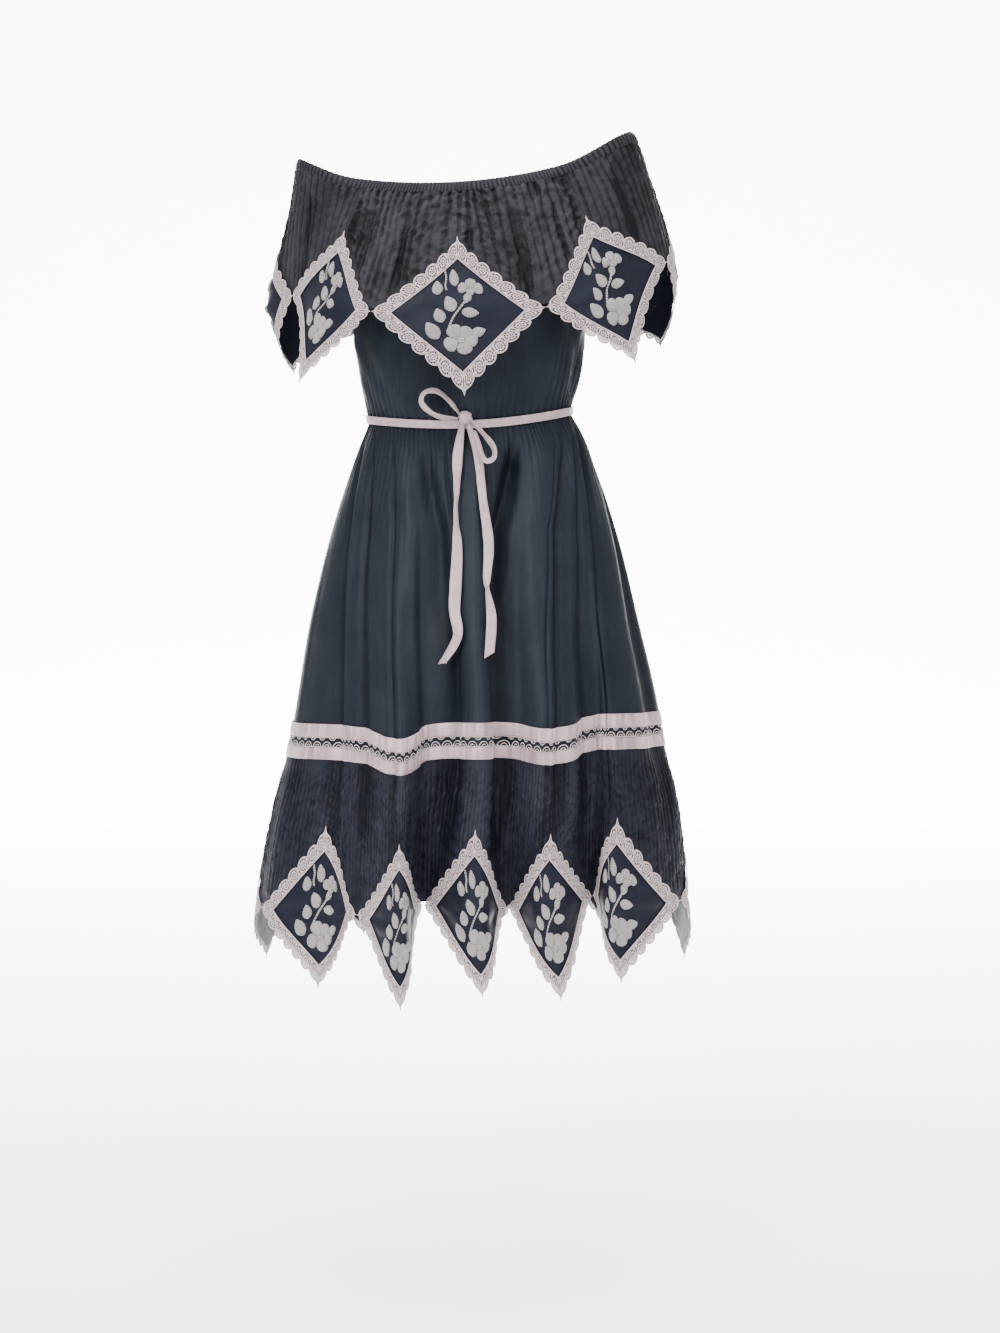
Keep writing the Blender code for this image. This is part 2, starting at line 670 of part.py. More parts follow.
def add_ribbon(name, stations, material):
    """A flat ribbon along stations of place, turn and width."""
    stations = np.array(stations, float)
    place = np.arange(len(stations))
    fine = np.linspace(0.0, len(stations) - 1.0, 2 * len(stations) - 1)
    row = np.stack([level_curve(place, stations[:, k], fine) for k in range(5)], axis=-1)
    path = row[:, :3]
    along = np.gradient(path, axis=0)
    along /= np.linalg.norm(along, axis=1, keepdims=True)
    outward = np.array([0.0, -1.0, 0.0]) - along * (along @ np.array([0.0, -1.0, 0.0]))[:, None]
    outward /= np.linalg.norm(outward, axis=1, keepdims=True)
    sideways = np.cross(along, outward)
    turn = np.radians(row[:, 3])[:, None]
    wide = sideways * np.cos(turn) + outward * np.sin(turn)
    face = np.cross(wide, along)
    half = row[:, 4][:, None] / 2
    left = path - wide * half
    right = path + wide * half
    thick = face * RIBBON / 2
    count = len(path)
    outer = np.concatenate([left + thick, right + thick])
    inner = np.concatenate([left - thick, right - thick])
    faces = []
    for i in range(count - 1):
        faces += split(i, count + i, count + i + 1, i + 1)
    add_wall(name, outer, inner, faces, material)


def add_knot(material):
    """The bow's flat, wrapped knot."""
    rings = 5
    around = 10
    points = []
    for i in range(1, rings):
        polar = math.pi * i / rings
        for k in range(around):
            turn = 2 * math.pi * k / around
            points.append([math.sin(polar) * math.cos(turn) * KNOT_SIZE[0],
                           math.sin(polar) * math.sin(turn) * KNOT_SIZE[1],
                           math.cos(polar) * KNOT_SIZE[2]])
    points += [[0.0, 0.0, KNOT_SIZE[2]], [0.0, 0.0, -KNOT_SIZE[2]]]
    faces = []
    top = len(points) - 2
    for k in range(around):
        after = (k + 1) % around
        faces.append((top, k, after))
        for i in range(rings - 2):
            faces.append((i * around + after, i * around + k, (i + 1) * around + k, (i + 1) * around + after))
        last = (rings - 2) * around
        faces.append((top + 1, last + after, last + k))
    add_object("bow_knot", np.array(points) + np.array(KNOT_PLACE), faces, material)


def hang(tail):
    """Stations of a tail lying just in front of the skirt."""
    return [(x, skirt_front(x, z) - TAIL_CLEAR - 0.35 * width * abs(math.sin(math.radians(turn))), z, turn, width)
            for x, z, turn, width in tail]


def add_belt(material):
    """Waist ribbon tied in a bow at the front, with two free ends."""
    share = -0.25 + np.arange(SKIRT_COLUMNS) / SKIRT_COLUMNS
    layers = ([], [])
    edges = ((bodice_surface, waist_height(share) + BELT_TALL / 2),
             (skirt_surface, np.full(SKIRT_COLUMNS, WAIST - BELT_TALL / 2)))
    for surface, level in edges:
        for layer, out in zip(layers, (BELT_LIFT + RIBBON, BELT_LIFT)):
            layer.append(moved_out(surface, share, level, np.full(SKIRT_COLUMNS, out)))
    faces = grid_faces(SKIRT_COLUMNS, 1, True)
    add_wall("waist_ribbon", np.concatenate(layers[0]), np.concatenate(layers[1]), faces, material)
    add_knot(material)
    add_ribbon("bow_loop_left", LEFT_LOOP, material)
    add_ribbon("bow_loop_right", RIGHT_LOOP, material)
    add_ribbon("bow_tail_left", hang(LEFT_TAIL), material)
    add_ribbon("bow_tail_right", hang(RIGHT_TAIL), material)


def main():
    """Build every piece of the dress."""
    for old in list(bpy.data.objects):
        bpy.data.objects.remove(old, do_unlink=True)
    plain = make_material("navy_taffeta", NAVY, 0.55)
    crinkled = make_material("crinkled_taffeta", CRINKLED, 0.50)
    lace = make_material("pink_cream_lace", PALE_LACE, 0.85)
    ribbon = make_material("pink_satin_ribbon", PINK_RIBBON, 0.40)
    add_casing(crinkled)
    add_flounce(crinkled)
    add_bodice(plain)
    add_skirt(plain)
    add_strip_round("band_ribbon_upper", *UPPER_RIBBON, RIBBON_LIFT, RIBBON, ribbon)
    add_strip_round("band_insertion", *INSERTION, RIBBON_LIFT, LACE, lace)
    add_strip_round("band_ribbon_lower", *LOWER_RIBBON, RIBBON_LIFT, RIBBON, ribbon)
    add_tier(crinkled)
    add_belt(ribbon)
    add_diamonds(flounce_surface, FLOUNCE_DIAMONDS, FLOUNCE_CORNER, FLOUNCE_UP, FLOUNCE_DOWN,
                 "flounce", plain, lace)
    add_diamonds(skirt_surface, HEM_DIAMONDS, HEM_CORNER, HEM_UP, HEM_DOWN, "hem", plain, lace)


main()
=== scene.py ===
"""Looks of the off-shoulder dress: crinkled taffeta, lace diamonds with raised sprigs, ribbon trims."""

import math

import bpy
import numpy as np
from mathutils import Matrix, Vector


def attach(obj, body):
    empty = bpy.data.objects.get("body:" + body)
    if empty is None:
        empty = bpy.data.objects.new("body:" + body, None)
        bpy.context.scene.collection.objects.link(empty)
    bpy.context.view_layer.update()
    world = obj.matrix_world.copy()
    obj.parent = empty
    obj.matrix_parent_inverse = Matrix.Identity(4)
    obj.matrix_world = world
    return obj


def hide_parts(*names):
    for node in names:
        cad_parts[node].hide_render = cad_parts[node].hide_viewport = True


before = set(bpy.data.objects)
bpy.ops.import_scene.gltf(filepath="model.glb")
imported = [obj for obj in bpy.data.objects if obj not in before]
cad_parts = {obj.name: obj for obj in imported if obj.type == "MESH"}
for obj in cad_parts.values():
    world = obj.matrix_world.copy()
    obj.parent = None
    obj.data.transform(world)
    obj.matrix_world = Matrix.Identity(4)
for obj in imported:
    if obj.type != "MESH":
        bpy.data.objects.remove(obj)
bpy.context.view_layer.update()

# Where the pieces lie, in metres: seam gap, cut edges, lace and ribbon above the cloth
SEAM = 0.0003
EDGE_CLEAR = 0.0004
LACE_LIFT = 0.0014
LACE_THICK = 0.0006
RIBBON_LIFT = 0.0015
SPRIG_LIFT = 0.0001

# Neckline and casing
NECK_RISE = (0.000, 0.021, 0.072, 0.036, -0.004, 0.006, 0.041, 0.007)
NECK_LEFT = -0.213
NECK_RIGHT = 0.198
NECK_FRONT = -0.110
NECK_BACK = 0.090
# how far along the neckline each twelfth of the gathered cloth is drawn, as a share of the way round
NECK_DRAWN = (-0.010, -0.027, -0.048, -0.035, -0.021, -0.012, 0.000, 0.012, 0.023, 0.028, 0.043, 0.016)
CASING_TALL = 0.012
CASING_THICK = 0.0034
CASING_GATHERS = 172
CASING_ROWS = 15

# Flounce
FLOUNCE_DIAMONDS = 6
FLOUNCE_CORNER = 0.155
FLOUNCE_SPREAD = 0.80
FLOUNCE_FOOT = 0.254
# across, depth, height at the diamonds' side corners, for each twelfth of the way round
FLOUNCE_PLAN = (
    (-0.0145, -0.146, -0.155),
    (0.0890, -0.134, -0.151),
    (0.1650, -0.104, -0.121),
    (0.2385, -0.024, -0.088),
    (0.2500, 0.062, -0.104),
    (0.1250, 0.112, -0.140),
    (0.0000, 0.122, -0.156),
    (-0.1250, 0.112, -0.152),
    (-0.2560, 0.058, -0.140),
    (-0.2200, -0.014, -0.128),
    (-0.1740, -0.094, -0.139),
    (-0.1180, -0.134, -0.156),
)
# across, depth, height at the level of the diamonds' lower tips
FOOT_PLAN = (
    (-0.0072, -0.150, -0.253),
    (0.0950, -0.136, -0.246),
    (0.1970, -0.096, -0.213),
    (0.2320, -0.020, -0.182),
    (0.2360, 0.050, -0.186),
    (0.1220, 0.114, -0.234),
    (0.0000, 0.126, -0.253),
    (-0.1220, 0.114, -0.246),
    (-0.2240, 0.054, -0.219),
    (-0.2180, -0.016, -0.222),
    (-0.2060, -0.086, -0.236),
    (-0.1160, -0.132, -0.250),
)

# Diamonds
DIAMOND_HALF = 0.1035
FLOUNCE_UP = 0.084
FLOUNCE_DOWN = 0.099
HEM_UP = 0.087
HEM_DOWN = 0.093
LACE_WIDE = 0.018
SCALLOP_DEEP = 0.0054
SCALLOPS = 7
LACE_TAIL = 0.0045
PANEL_INSET = 0.0075
SCALLOP_PITCH = math.hypot(DIAMOND_HALF, FLOUNCE_UP) / SCALLOPS
# lace rosettes in millimetres: height of the middle, then radius, half width and number of slits of each ring
ROSETTE_MIDDLE = 9.6
ROSETTE_RINGS = ((6.0, 0.95, 11), (2.8, 0.70, 5))
# dotted lines in millimetres: how far over the lace, half width
DOTTED_LINES = ((2.0, 0.60), (15.2, 0.65))

# Bodice rings: height, left, right, front, back
BODICE_RINGS = (
    (-0.290, -0.1250, 0.1180, -0.0960, 0.0900),
    (-0.265, -0.1320, 0.1230, -0.1060, 0.0990),
    (-0.230, -0.1390, 0.1310, -0.1130, 0.1050),
    (-0.180, -0.1460, 0.1400, -0.1190, 0.1090),
    (-0.120, -0.1520, 0.1470, -0.1200, 0.1070),
    (-0.060, -0.1560, 0.1510, -0.1130, 0.0990),
    (0.000, -0.1580, 0.1530, -0.1020, 0.0860),
)
ARMPIT = -0.165

# Skirt rings: height, left, right, front, back, share of the hem folds
SKIRT_RINGS = (
    (-0.289, -0.1250, 0.1195, -0.0960, 0.0900, 0.00),
    (-0.320, -0.1380, 0.1390, -0.1170, 0.1180, 0.06),
    (-0.366, -0.1540, 0.1580, -0.1360, 0.1430, 0.14),
    (-0.440, -0.1760, 0.1820, -0.1590, 0.1700, 0.26),
    (-0.538, -0.1980, 0.2060, -0.1830, 0.1930, 0.43),
    (-0.653, -0.2150, 0.2320, -0.2060, 0.2110, 0.62),
    (-0.697, -0.2220, 0.2390, -0.2120, 0.2160, 0.70),
    (-0.743, -0.2340, 0.2510, -0.2170, 0.2200, 0.80),
    (-0.863, -0.2540, 0.2660, -0.2270, 0.2280, 1.00),
    (-0.960, -0.2600, 0.2710, -0.2320, 0.2330, 1.08),
)
WAIST_LIFT = (0.000, 0.020, 0.012, 0.009)
BAND_LIFT = (0.015, 0.011, 0.006, 0.016, 0.018, 0.014, 0.012, 0.010, 0.008, 0.007,
             0.006, 0.005, 0.004, 0.003, 0.001, 0.001, 0.004, 0.003, -0.005, 0.009)
WAIST = -0.289
BAND_TOP = -0.655
BAND_FOOT = -0.697
HEM_CORNER = -0.863
HEM_DIAMONDS = 10
FOLD_ROUND = 0.72
# across, depth, lift and sideways lean of the hem's folds, at each twentieth of the way round
HEM_PLAN = (
    (0.0075, -0.250, 0.002, 0.08),
    (0.0440, -0.187, 0.000, 0.08),
    (0.0950, -0.234, -0.004, 0.14),
    (0.1450, -0.150, 0.009, 0.08),
    (0.1740, -0.180, 0.007, 0.06),
    (0.2540, -0.090, -0.006, 0.00),
    (0.2610, 0.012, 0.000, 0.00),
    (0.2220, 0.102, 0.003, 0.00),
    (0.1760, 0.194, -0.004, 0.05),
    (0.1060, 0.168, 0.004, 0.00),
    (0.0220, 0.238, -0.006, -0.05),
    (-0.0620, 0.178, 0.005, 0.00),
    (-0.1480, 0.212, -0.005, 0.04),
    (-0.2060, 0.116, 0.003, 0.00),
    (-0.2530, 0.020, 0.000, 0.00),
    (-0.2560, -0.086, -0.015, 0.00),
    (-0.1780, -0.160, -0.003, -0.03),
    (-0.1340, -0.186, -0.008, 0.00),
    (-0.0820, -0.252, -0.012, 0.00),
    (-0.0560, -0.186, 0.003, 0.04),
)

# Trim band: top and foot of each strip
UPPER_RIBBON = (-0.6545, -0.6700)
INSERTION = (-0.6703, -0.6823)
LOWER_RIBBON = (-0.6826, -0.6968)
FAN_PITCH = 0.0144
BAND_ROUND = 1.50
# threads of the fans and of the scallops: radius as a share of their spacing, width
FAN_ARCS = ((0.41, 0.0010), (0.20, 0.0009))
SCALLOP_ARCS = ((0.25, 0.0010), (0.09, 0.0009))
SKIRT_GIRTH = 1.28

# Waist ribbon and bow
BELT_TALL = 0.010
BELT_LIFT = 0.0026
KNOT_PLACE = (-0.0070, -0.1068, -0.2810)
KNOT_SIZE = (0.0082, 0.0050, 0.0080)
# across, depth, height, turn in degrees and width of the two loops
LEFT_LOOP = (
    (-0.0137, -0.1088, -0.2768, -55.0, 0.005),
    (-0.0260, -0.1190, -0.2610, -55.0, 0.009),
    (-0.0410, -0.1230, -0.2500, -55.0, 0.010),
    (-0.0550, -0.1240, -0.2515, -55.0, 0.010),
    (-0.0590, -0.1240, -0.2630, -55.0, 0.010),
    (-0.0490, -0.1220, -0.2750, -55.0, 0.010),
    (-0.0330, -0.1200, -0.2815, -55.0, 0.009),
    (-0.0158, -0.1090, -0.2825, -55.0, 0.005),
)
RIGHT_LOOP = (
    (0.0004, -0.1084, -0.2842, -55.0, 0.005),
    (0.0150, -0.1290, -0.3010, -55.0, 0.009),
    (0.0270, -0.1380, -0.3170, -55.0, 0.010),
    (0.0275, -0.1430, -0.3300, -55.0, 0.010),
    (0.0180, -0.1430, -0.3330, -55.0, 0.009),
    (0.0120, -0.1410, -0.3190, -55.0, 0.007),
    (0.0055, -0.1270, -0.2980, -55.0, 0.005),
)
# across, height, turn in degrees and width of the two hanging tails
LEFT_TAIL = (
    (-0.0105, -0.2888, 0.0, 0.006),
    (-0.0155, -0.3270, 0.0, 0.012),
    (-0.0165, -0.3670, 35.0, 0.008),
    (-0.0175, -0.3970, 50.0, 0.007),
    (-0.0155, -0.4370, 10.0, 0.012),
    (-0.0175, -0.4830, 0.0, 0.014),
    (-0.0185, -0.5100, -5.0, 0.013),
    (-0.0150, -0.5400, -25.0, 0.012),
    (-0.0330, -0.5720, -35.0, 0.009),
)
RIGHT_TAIL = (
    (-0.0032, -0.2888, 0.0, 0.006),
    (0.0085, -0.3270, 10.0, 0.010),
    (0.0145, -0.3780, 15.0, 0.010),
    (0.0215, -0.4310, 5.0, 0.012),
    (0.0195, -0.4730, -20.0, 0.009),
    (0.0205, -0.4870, -45.0, 0.007),
    (0.0250, -0.5200, 10.0, 0.012),
    (0.0225, -0.5620, 0.0, 0.011),
)
TAIL_CLEAR = 0.0035
RIBBON_THICK = 0.0006

# Crinkled cloth: spacing of its pleats on each part, their depth, the finer pleats and the creases across
FRONT_PITCH = 0.0160
SHOULDER_PITCH = 0.0118
TIER_PITCH = 0.0078
PLEAT_DEEP = 0.0046
FINE_PITCH = 0.0051
FINE_DEEP = 0.0008
CREASE_DEEP = 0.0014
# depth of pleats, of the skirt's folds and of a ribbon's puckers at which their tops are painted palest and
# their troughs darkest, as painted highlight and shade
RELIEF_DEEP = 0.0026
FOLD_DEEP = 0.0070
PUCKER_DEEP = 0.0012
# how far the flounce and the bodice reach up under the neck casing, and the bodice lies inside the flounce
FLOUNCE_TUCK = 0.0050
BODICE_INSIDE = 0.0030
# how far above the lace the cloth is pressed flat
FLAT_UNDER_LACE = 0.012
# deeper folds of the flounce: place along its cut edge from the front, half width, depth
FLOUNCE_FOLDS = (
    (-0.199, 0.0060, 0.0065),
    (-0.146, 0.0050, 0.0030),
    (-0.078, 0.0060, 0.0035),
    (0.016, 0.0055, 0.0030),
    (0.088, 0.0060, 0.0040),
    (0.158, 0.0050, 0.0035),
    (0.196, 0.0060, 0.0045),
    (0.268, 0.0060, 0.0035),
    (0.346, 0.0055, 0.0030),
    (0.420, 0.0060, 0.0045),
    (0.497, 0.0050, 0.0030),
    (0.566, 0.0060, 0.0035),
    (0.643, 0.0055, 0.0040),
    (0.718, 0.0060, 0.0030),
    (0.802, 0.0055, 0.0040),
    (0.884, 0.0060, 0.0030),
    (0.958, 0.0055, 0.0035),
)
# main creases of the upper skirt: half width, how far out, then share of the way round at these heights
CREASE_HEIGHTS = (-0.31, -0.42, -0.56, -0.70)
SKIRT_CREASES = (
    (0.0060, -0.0045, -0.128, -0.111, -0.109, -0.109),
    (0.0140, -0.0070, -0.072, -0.042, -0.029, -0.030),
    (0.0030, -0.0030, -0.040, -0.025, -0.020, -0.022),
    (0.0070, 0.0018, 0.004, 0.004, 0.002, 0.004),
    (0.0125, -0.0170, 0.066, 0.038, 0.029, 0.034),
    (0.0200, 0.0040, 0.104, 0.078, 0.070, 0.070),
    (0.0070, -0.0070, 0.160, 0.116, 0.108, 0.104),
    (0.0030, -0.0030, 0.140, 0.104, 0.094, 0.092),
    (0.0080, 0.0030, 0.176, 0.134, 0.124, 0.122),
    (0.0060, -0.0035, 0.190, 0.155, 0.141, 0.140),
    (0.0090, -0.0050, -0.178, -0.158, -0.150, -0.148),
    (0.0140, 0.0035, -0.112, -0.080, -0.072, -0.072),
    (0.0070, -0.0045, -0.222, -0.205, -0.196, -0.194),
    (0.0080, -0.0060, 0.212, 0.196, 0.188, 0.190),
    (0.0120, -0.0065, 0.262, 0.252, 0.246, 0.248),
    (0.0070, -0.0045, 0.306, 0.300, 0.304, 0.306),
    (0.0130, -0.0080, 0.352, 0.356, 0.352, 0.350),
    (0.0050, -0.0035, 0.392, 0.388, 0.390, 0.394),
    (0.0110, -0.0070, 0.434, 0.442, 0.447, 0.450),
    (0.0150, 0.0040, 0.478, 0.482, 0.484, 0.486),
    (0.0080, -0.0055, 0.512, 0.516, 0.522, 0.520),
    (0.0120, -0.0075, 0.566, 0.562, 0.553, 0.550),
    (0.0060, -0.0040, 0.604, 0.606, 0.604, 0.602),
    (0.0130, -0.0080, 0.652, 0.648, 0.650, 0.652),
    (0.0070, -0.0045, 0.694, 0.700, 0.704, 0.702),
)

# Uneven bumps of the cloth, a row each: how far out, width, height, start in the noise across and down
PLEAT_WANDER = (0.55, 0.045, 0.080, 0.0, 0.0)
PLEAT_WOBBLE = (0.12, 0.012, 0.015, 0.0, 0.0)
PLEAT_TALL = (0.40, 0.016, 0.050, 7.3, 0.0)
FINE_TALL = (0.40, 0.020, 0.030, 0.0, 50.0)
BROAD_BUMP = (0.0013, 0.028, 0.060, 3.0, 0.0)
RISING_CREASE = (1.0, 0.0120, 0.0036, 20.0, 0.0)
FALLING_CREASE = (1.0, 0.0120, 0.0036, 60.0, 0.0)
CREASE_SWAP = (0.5, 0.024, 0.020, 80.0, 0.0)
SKIRT_WANDER = (0.5, 0.030, 0.080, 0.0, 0.0)
SKIRT_GATHER_LENGTH = (0.050, 0.022, 1.0, 5.0, 0.0)
SKIRT_SOFT = (0.00136, 0.034, 0.30, 11.0, 2.0)
SKIRT_SMALL = (0.0003, 0.014, 0.11, 31.0, 0.0)
BODICE_WANDER = (0.5, 0.030, 0.080, 9.0, 0.0)
BODICE_GATHER_LENGTH = (0.030, 0.020, 1.0, 0.0, 0.5)
BODICE_SOFT = (0.0030, 0.030, 0.100, 15.0, 0.0)
BODICE_SLANT = (0.0022, 0.022, 0.050, 0.0, 30.0)
CASING_WANDER = (0.45, 1.0 / 60.0, 1.0, 0.0, 0.0)
CASING_TALLER = (0.3, 1.0 / 90.0, 1.0, 4.0, 1.0)
BELT_PUCKER = (0.0005, 0.012, 1.25, 0.0, 0.0)
BELT_CRUMPLE = (0.0003, 0.004, 1.0 / 1.5, 0.0, 9.0)
# the same without their start, which changes from piece to piece
BAND_PUCKER = (0.0009, 0.0050, 2.0)
BAND_SWELL = (0.0006, 0.020, 2.0)
PANEL_PUCKER = (0.0016, 0.030, 0.011)
LACE_WAVE = (0.0005, 0.012, 0.012)
# how steeply creases lie: of crinkled cloth down and across, and of the bodice's soft folds
CREASE_SLOPE = (0.5, 0.35)
BODICE_SOFT_SLOPE = 0.100 / 0.120
BODICE_SLANT_SLOPE = 0.022 / 0.060
# spacing and depth of the small gathers at the waist
SKIRT_GATHER = (0.0135, 0.0028)
BODICE_GATHER = (0.0115, 0.0026)

# side seam and the cloth pressed flat beside a seam, as shares of the way round
SIDE_SEAM = 0.75
SEAM_FLAT = 0.008
# cloth lengths round the skirt and the bodice that set the spacing of their small folds
SKIRT_ROUND = 1.55
BODICE_ROUND = 0.86
# level of a pleat that has the cloth's middle tone between painted shade and painted highlight, and how far
# the cut edge stays above a diamond's corner
PLEAT_MIDDLE = 0.0006
POINT_ROUND = 0.004
# share of the way round over which the direction along the cloth is read
SLOPE_STEP = 0.0005

# How finely cloth is divided: spacing across crinkled cloth, then rows and columns
CRINKLE_STEP = 0.00138
FLOUNCE_ROWS = 46
TIER_ROWS = 48
BODICE_GRID = (64, 281)
SKIRT_COLUMNS = 361
RIBBON_ROWS = 9
LACE_ROWS = 9
SCALLOP_STEPS = 10

# The cut: length of the waist ribbon round the waist
WAIST_ROUND = 0.70

# Sprig on a diamond, in millimetres from its middle, upwards and to the right:
# kind, across, up, length, width, turn in degrees
SPRIG = (
    ("petal", -5.5, -27.0, 20.0, 20.0, 118.0),
    ("petal", 6.5, -28.5, 18.0, 18.0, 52.0),
    ("petal", -10.0, -40.0, 19.0, 20.0, 202.0),
    ("petal", 4.0, -44.0, 19.0, 20.0, 278.0),
    ("petal", 12.0, -36.0, 17.0, 18.0, 340.0),
    ("eye", 1.0, -36.5, 9.0, 9.0, 0.0),
    ("leaf", 22.0, -26.5, 17.0, 12.0, 18.0),
    ("petal", 6.5, 25.5, 14.0, 14.0, 160.0),
    ("petal", 15.5, 30.0, 14.0, 15.0, 92.0),
    ("petal", 23.5, 24.5, 14.0, 15.0, 20.0),
    ("eye", 15.0, 21.0, 10.0, 9.0, 0.0),
    ("leaf", 11.0, 13.5, 13.0, 10.0, 245.0),
    ("leaf", 14.0, -3.5, 20.0, 12.0, 356.0),
    ("leaf", -9.5, 7.5, 20.0, 15.0, 116.0),
    ("leaf", -22.0, -6.0, 18.0, 13.5, 108.0),
    ("leaf", -31.0, -24.0, 23.0, 16.0, 120.0),
    ("leaf", -25.0, 27.0, 17.0, 13.0, 98.0),
    ("leaf", -5.0, 38.5, 21.0, 12.0, 100.0),
)
# across, up in millimetres along the stem and the twig
STEM = ((-12.0, -20.0), (-6.5, -9.0), (1.0, 0.5), (9.5, 11.5))
TWIG = ((-16.5, 48.0), (-14.5, 38.0), (-15.5, 30.0), (-14.0, 24.0))
STEM_WIDE = 2.4
TWIG_WIDE = 2.2
PAD_HIGH = 0.0026
EYE_HIGHER = 1.35

# Camera and light
IMAGE_TALL = 1333.0
FOCAL_PIXELS = 2560.0
CAMERA_AWAY = 3.2
CAMERA_ACROSS = 0.035
CAMERA_HEIGHT = -0.380
CAMERA_DROP = 166.5
FLOOR = -1.365
SURROUND_WIDE = 2.4
BACKDROP_AWAY = 4.5
BACKDROP_GLOW = 8.0
FLOOR_GLOW = 0.8
WORLD_GLOW = 0.9
# soft lamps: name, place, size, power, and the place that they all face
LAMPS = (
    ("left_softbox", (-1.7, -2.9, 1.2), (1.4, 2.0), 170.0),
    ("right_softbox", (1.9, -2.9, 0.8), (1.4, 2.0), 70.0),
    ("top_softbox", (0.0, -1.0, 2.4), (2.2, 1.6), 130.0),
)
LAMPS_AIM = (0.0, 0.0, -0.45)

# a wave texture's scale times its wavelength
WAVE_BEAT = 0.31416

noise_table = np.random.default_rng(11).random((64, 64)) * 2.0 - 1.0


def ease(low, high, value):
    """Rise smoothly from nought to one between two limits."""
    share = np.clip((value - low) / (high - low), 0.0, 1.0)
    return share * share * (3.0 - 2.0 * share)


def soft_noise(x, y):
    """Smooth uneven surface between minus one and one, with bumps about one unit wide."""
    x = np.asarray(x, float)
    y = np.asarray(y, float)
    left = np.floor(x).astype(int)
    low = np.floor(y).astype(int)
    across = ease(0.0, 1.0, x - left)
    up = ease(0.0, 1.0, y - low)
    corner = [noise_table[(left + i) % 64, (low + j) % 64] for j in (0, 1) for i in (0, 1)]
    lower = corner[0] * (1.0 - across) + corner[1] * across
    upper = corner[2] * (1.0 - across) + corner[3] * across
    return lower * (1.0 - up) + upper * up


def hermite(first, last, first_slope, last_slope, share):
    """Cubic between two values with a slope at each."""
    square = share * share
    cube = square * share
    from_first = 2.0 * cube - 3.0 * square + 1.0
    return (first * from_first + last * (1.0 - from_first)
            + first_slope * (cube - 2.0 * square + share) + last_slope * (cube - square))


def round_curve(stations, share, roundness=0.5):
    """Closed smooth curve through evenly spaced stations, at a share of the way round."""
    stations = np.asarray(stations, float)
    count = len(stations)
    slopes = roundness * (np.roll(stations, -1, axis=0) - np.roll(stations, 1, axis=0))
    place = np.mod(np.asarray(share, float), 1.0) * count
    low = np.floor(place).astype(int) % count
    high = (low + 1) % count
    part = place - np.floor(place)
    if stations.ndim == 2:
        part = part[..., None]
    return hermite(stations[low], stations[high], slopes[low], slopes[high], part)


def level_curve(levels, values, at):
    """Smooth curve through values given at rising levels."""
    levels = np.asarray(levels, float)
    values = np.asarray(values, float)
    slopes = np.gradient(values, levels)
    low = np.clip(np.searchsorted(levels, at) - 1, 0, len(levels) - 2)
    gap = levels[low + 1] - levels[low]
    part = np.clip((at - levels[low]) / gap, -0.5, 1.5)
    return hermite(values[low], values[low + 1], slopes[low] * gap, slopes[low + 1] * gap, part)


def oval_by_length(left, right, front, back, samples=1440):
    """Points of an oval plan, evenly spaced along its edge from the front."""
    angle = np.linspace(0.0, 2.0 * math.pi, samples * 2 + 1)
    across = (right + left) / 2 + (right - left) / 2 * np.sin(angle)
    depth = np.where(np.cos(angle) > 0.0, front * np.cos(angle), -back * np.cos(angle))
    length = np.concatenate(([0.0], np.cumsum(np.hypot(np.diff(across), np.diff(depth)))))
    where = np.linspace(0.0, 1.0, samples + 1) * length[-1]
    return np.stack([np.interp(where, length, across), np.interp(where, length, depth)], axis=-1)


NECK_OVAL = oval_by_length(NECK_LEFT, NECK_RIGHT, NECK_FRONT, NECK_BACK)
UNIT_OVAL = oval_by_length(-1.0, 1.0, -1.0, 1.0)


def sample_round(points, share):
    """Read an evenly spaced closed outline at a share of the way round."""
    place = np.mod(np.asarray(share, float), 1.0) * (len(points) - 1)
    low = np.minimum(np.floor(place).astype(int), len(points) - 2)
    part = (place - low)[..., None]
    return points[low] * (1.0 - part) + points[low + 1] * part


def flounce_form(share, down):
    """Middle of the flounce cloth, by share of the way round and distance below the neckline."""
    share = np.asarray(share, float)
    down = np.asarray(down, float)
    place = share + round_curve(NECK_DRAWN, share)
    neck = sample_round(NECK_OVAL, place)
    rise = round_curve(NECK_RISE, place - NECK_DRAWN[0])
    corner = round_curve(FLOUNCE_PLAN, share)
    foot = round_curve(FOOT_PLAN, share)
    fall = np.clip(down / FLOUNCE_CORNER, 0.0, 1.0)
    spread = (fall ** FLOUNCE_SPREAD)[..., None]
    below = np.clip((down - FLOUNCE_CORNER) / (FLOUNCE_FOOT - FLOUNCE_CORNER), 0.0, 1.1)
    plan = neck + (corner[..., :2] - neck) * spread + (foot - corner)[..., :2] * below[..., None]
    height = rise + (corner[..., 2] - rise) * fall + (foot - corner)[..., 2] * below
    return np.concatenate([plan, height[..., None]], axis=-1)


def ring_form(rings, share, height):
    """Oval body of the bodice or skirt at a height, and the other columns of its rings."""
    table = np.asarray(rings)
    if table[0, 0] > table[-1, 0]:
        table = table[::-1]
    columns = [level_curve(table[:, 0], table[:, k], height) for k in range(1, table.shape[1])]
    left, right, front, back = columns[:4]
    unit = sample_round(UNIT_OVAL, share)
    across = (right + left) / 2 + (right - left) / 2 * unit[..., 0]
    depth = np.where(unit[..., 1] < 0.0, -front * unit[..., 1], back * unit[..., 1])
    return across, depth, unit, columns[4:]


def bodice_form(share, height):
    """Middle of the bodice cloth."""
    across, depth, _, _ = ring_form(BODICE_RINGS, share, height)
    return np.stack([across, depth, height], axis=-1)


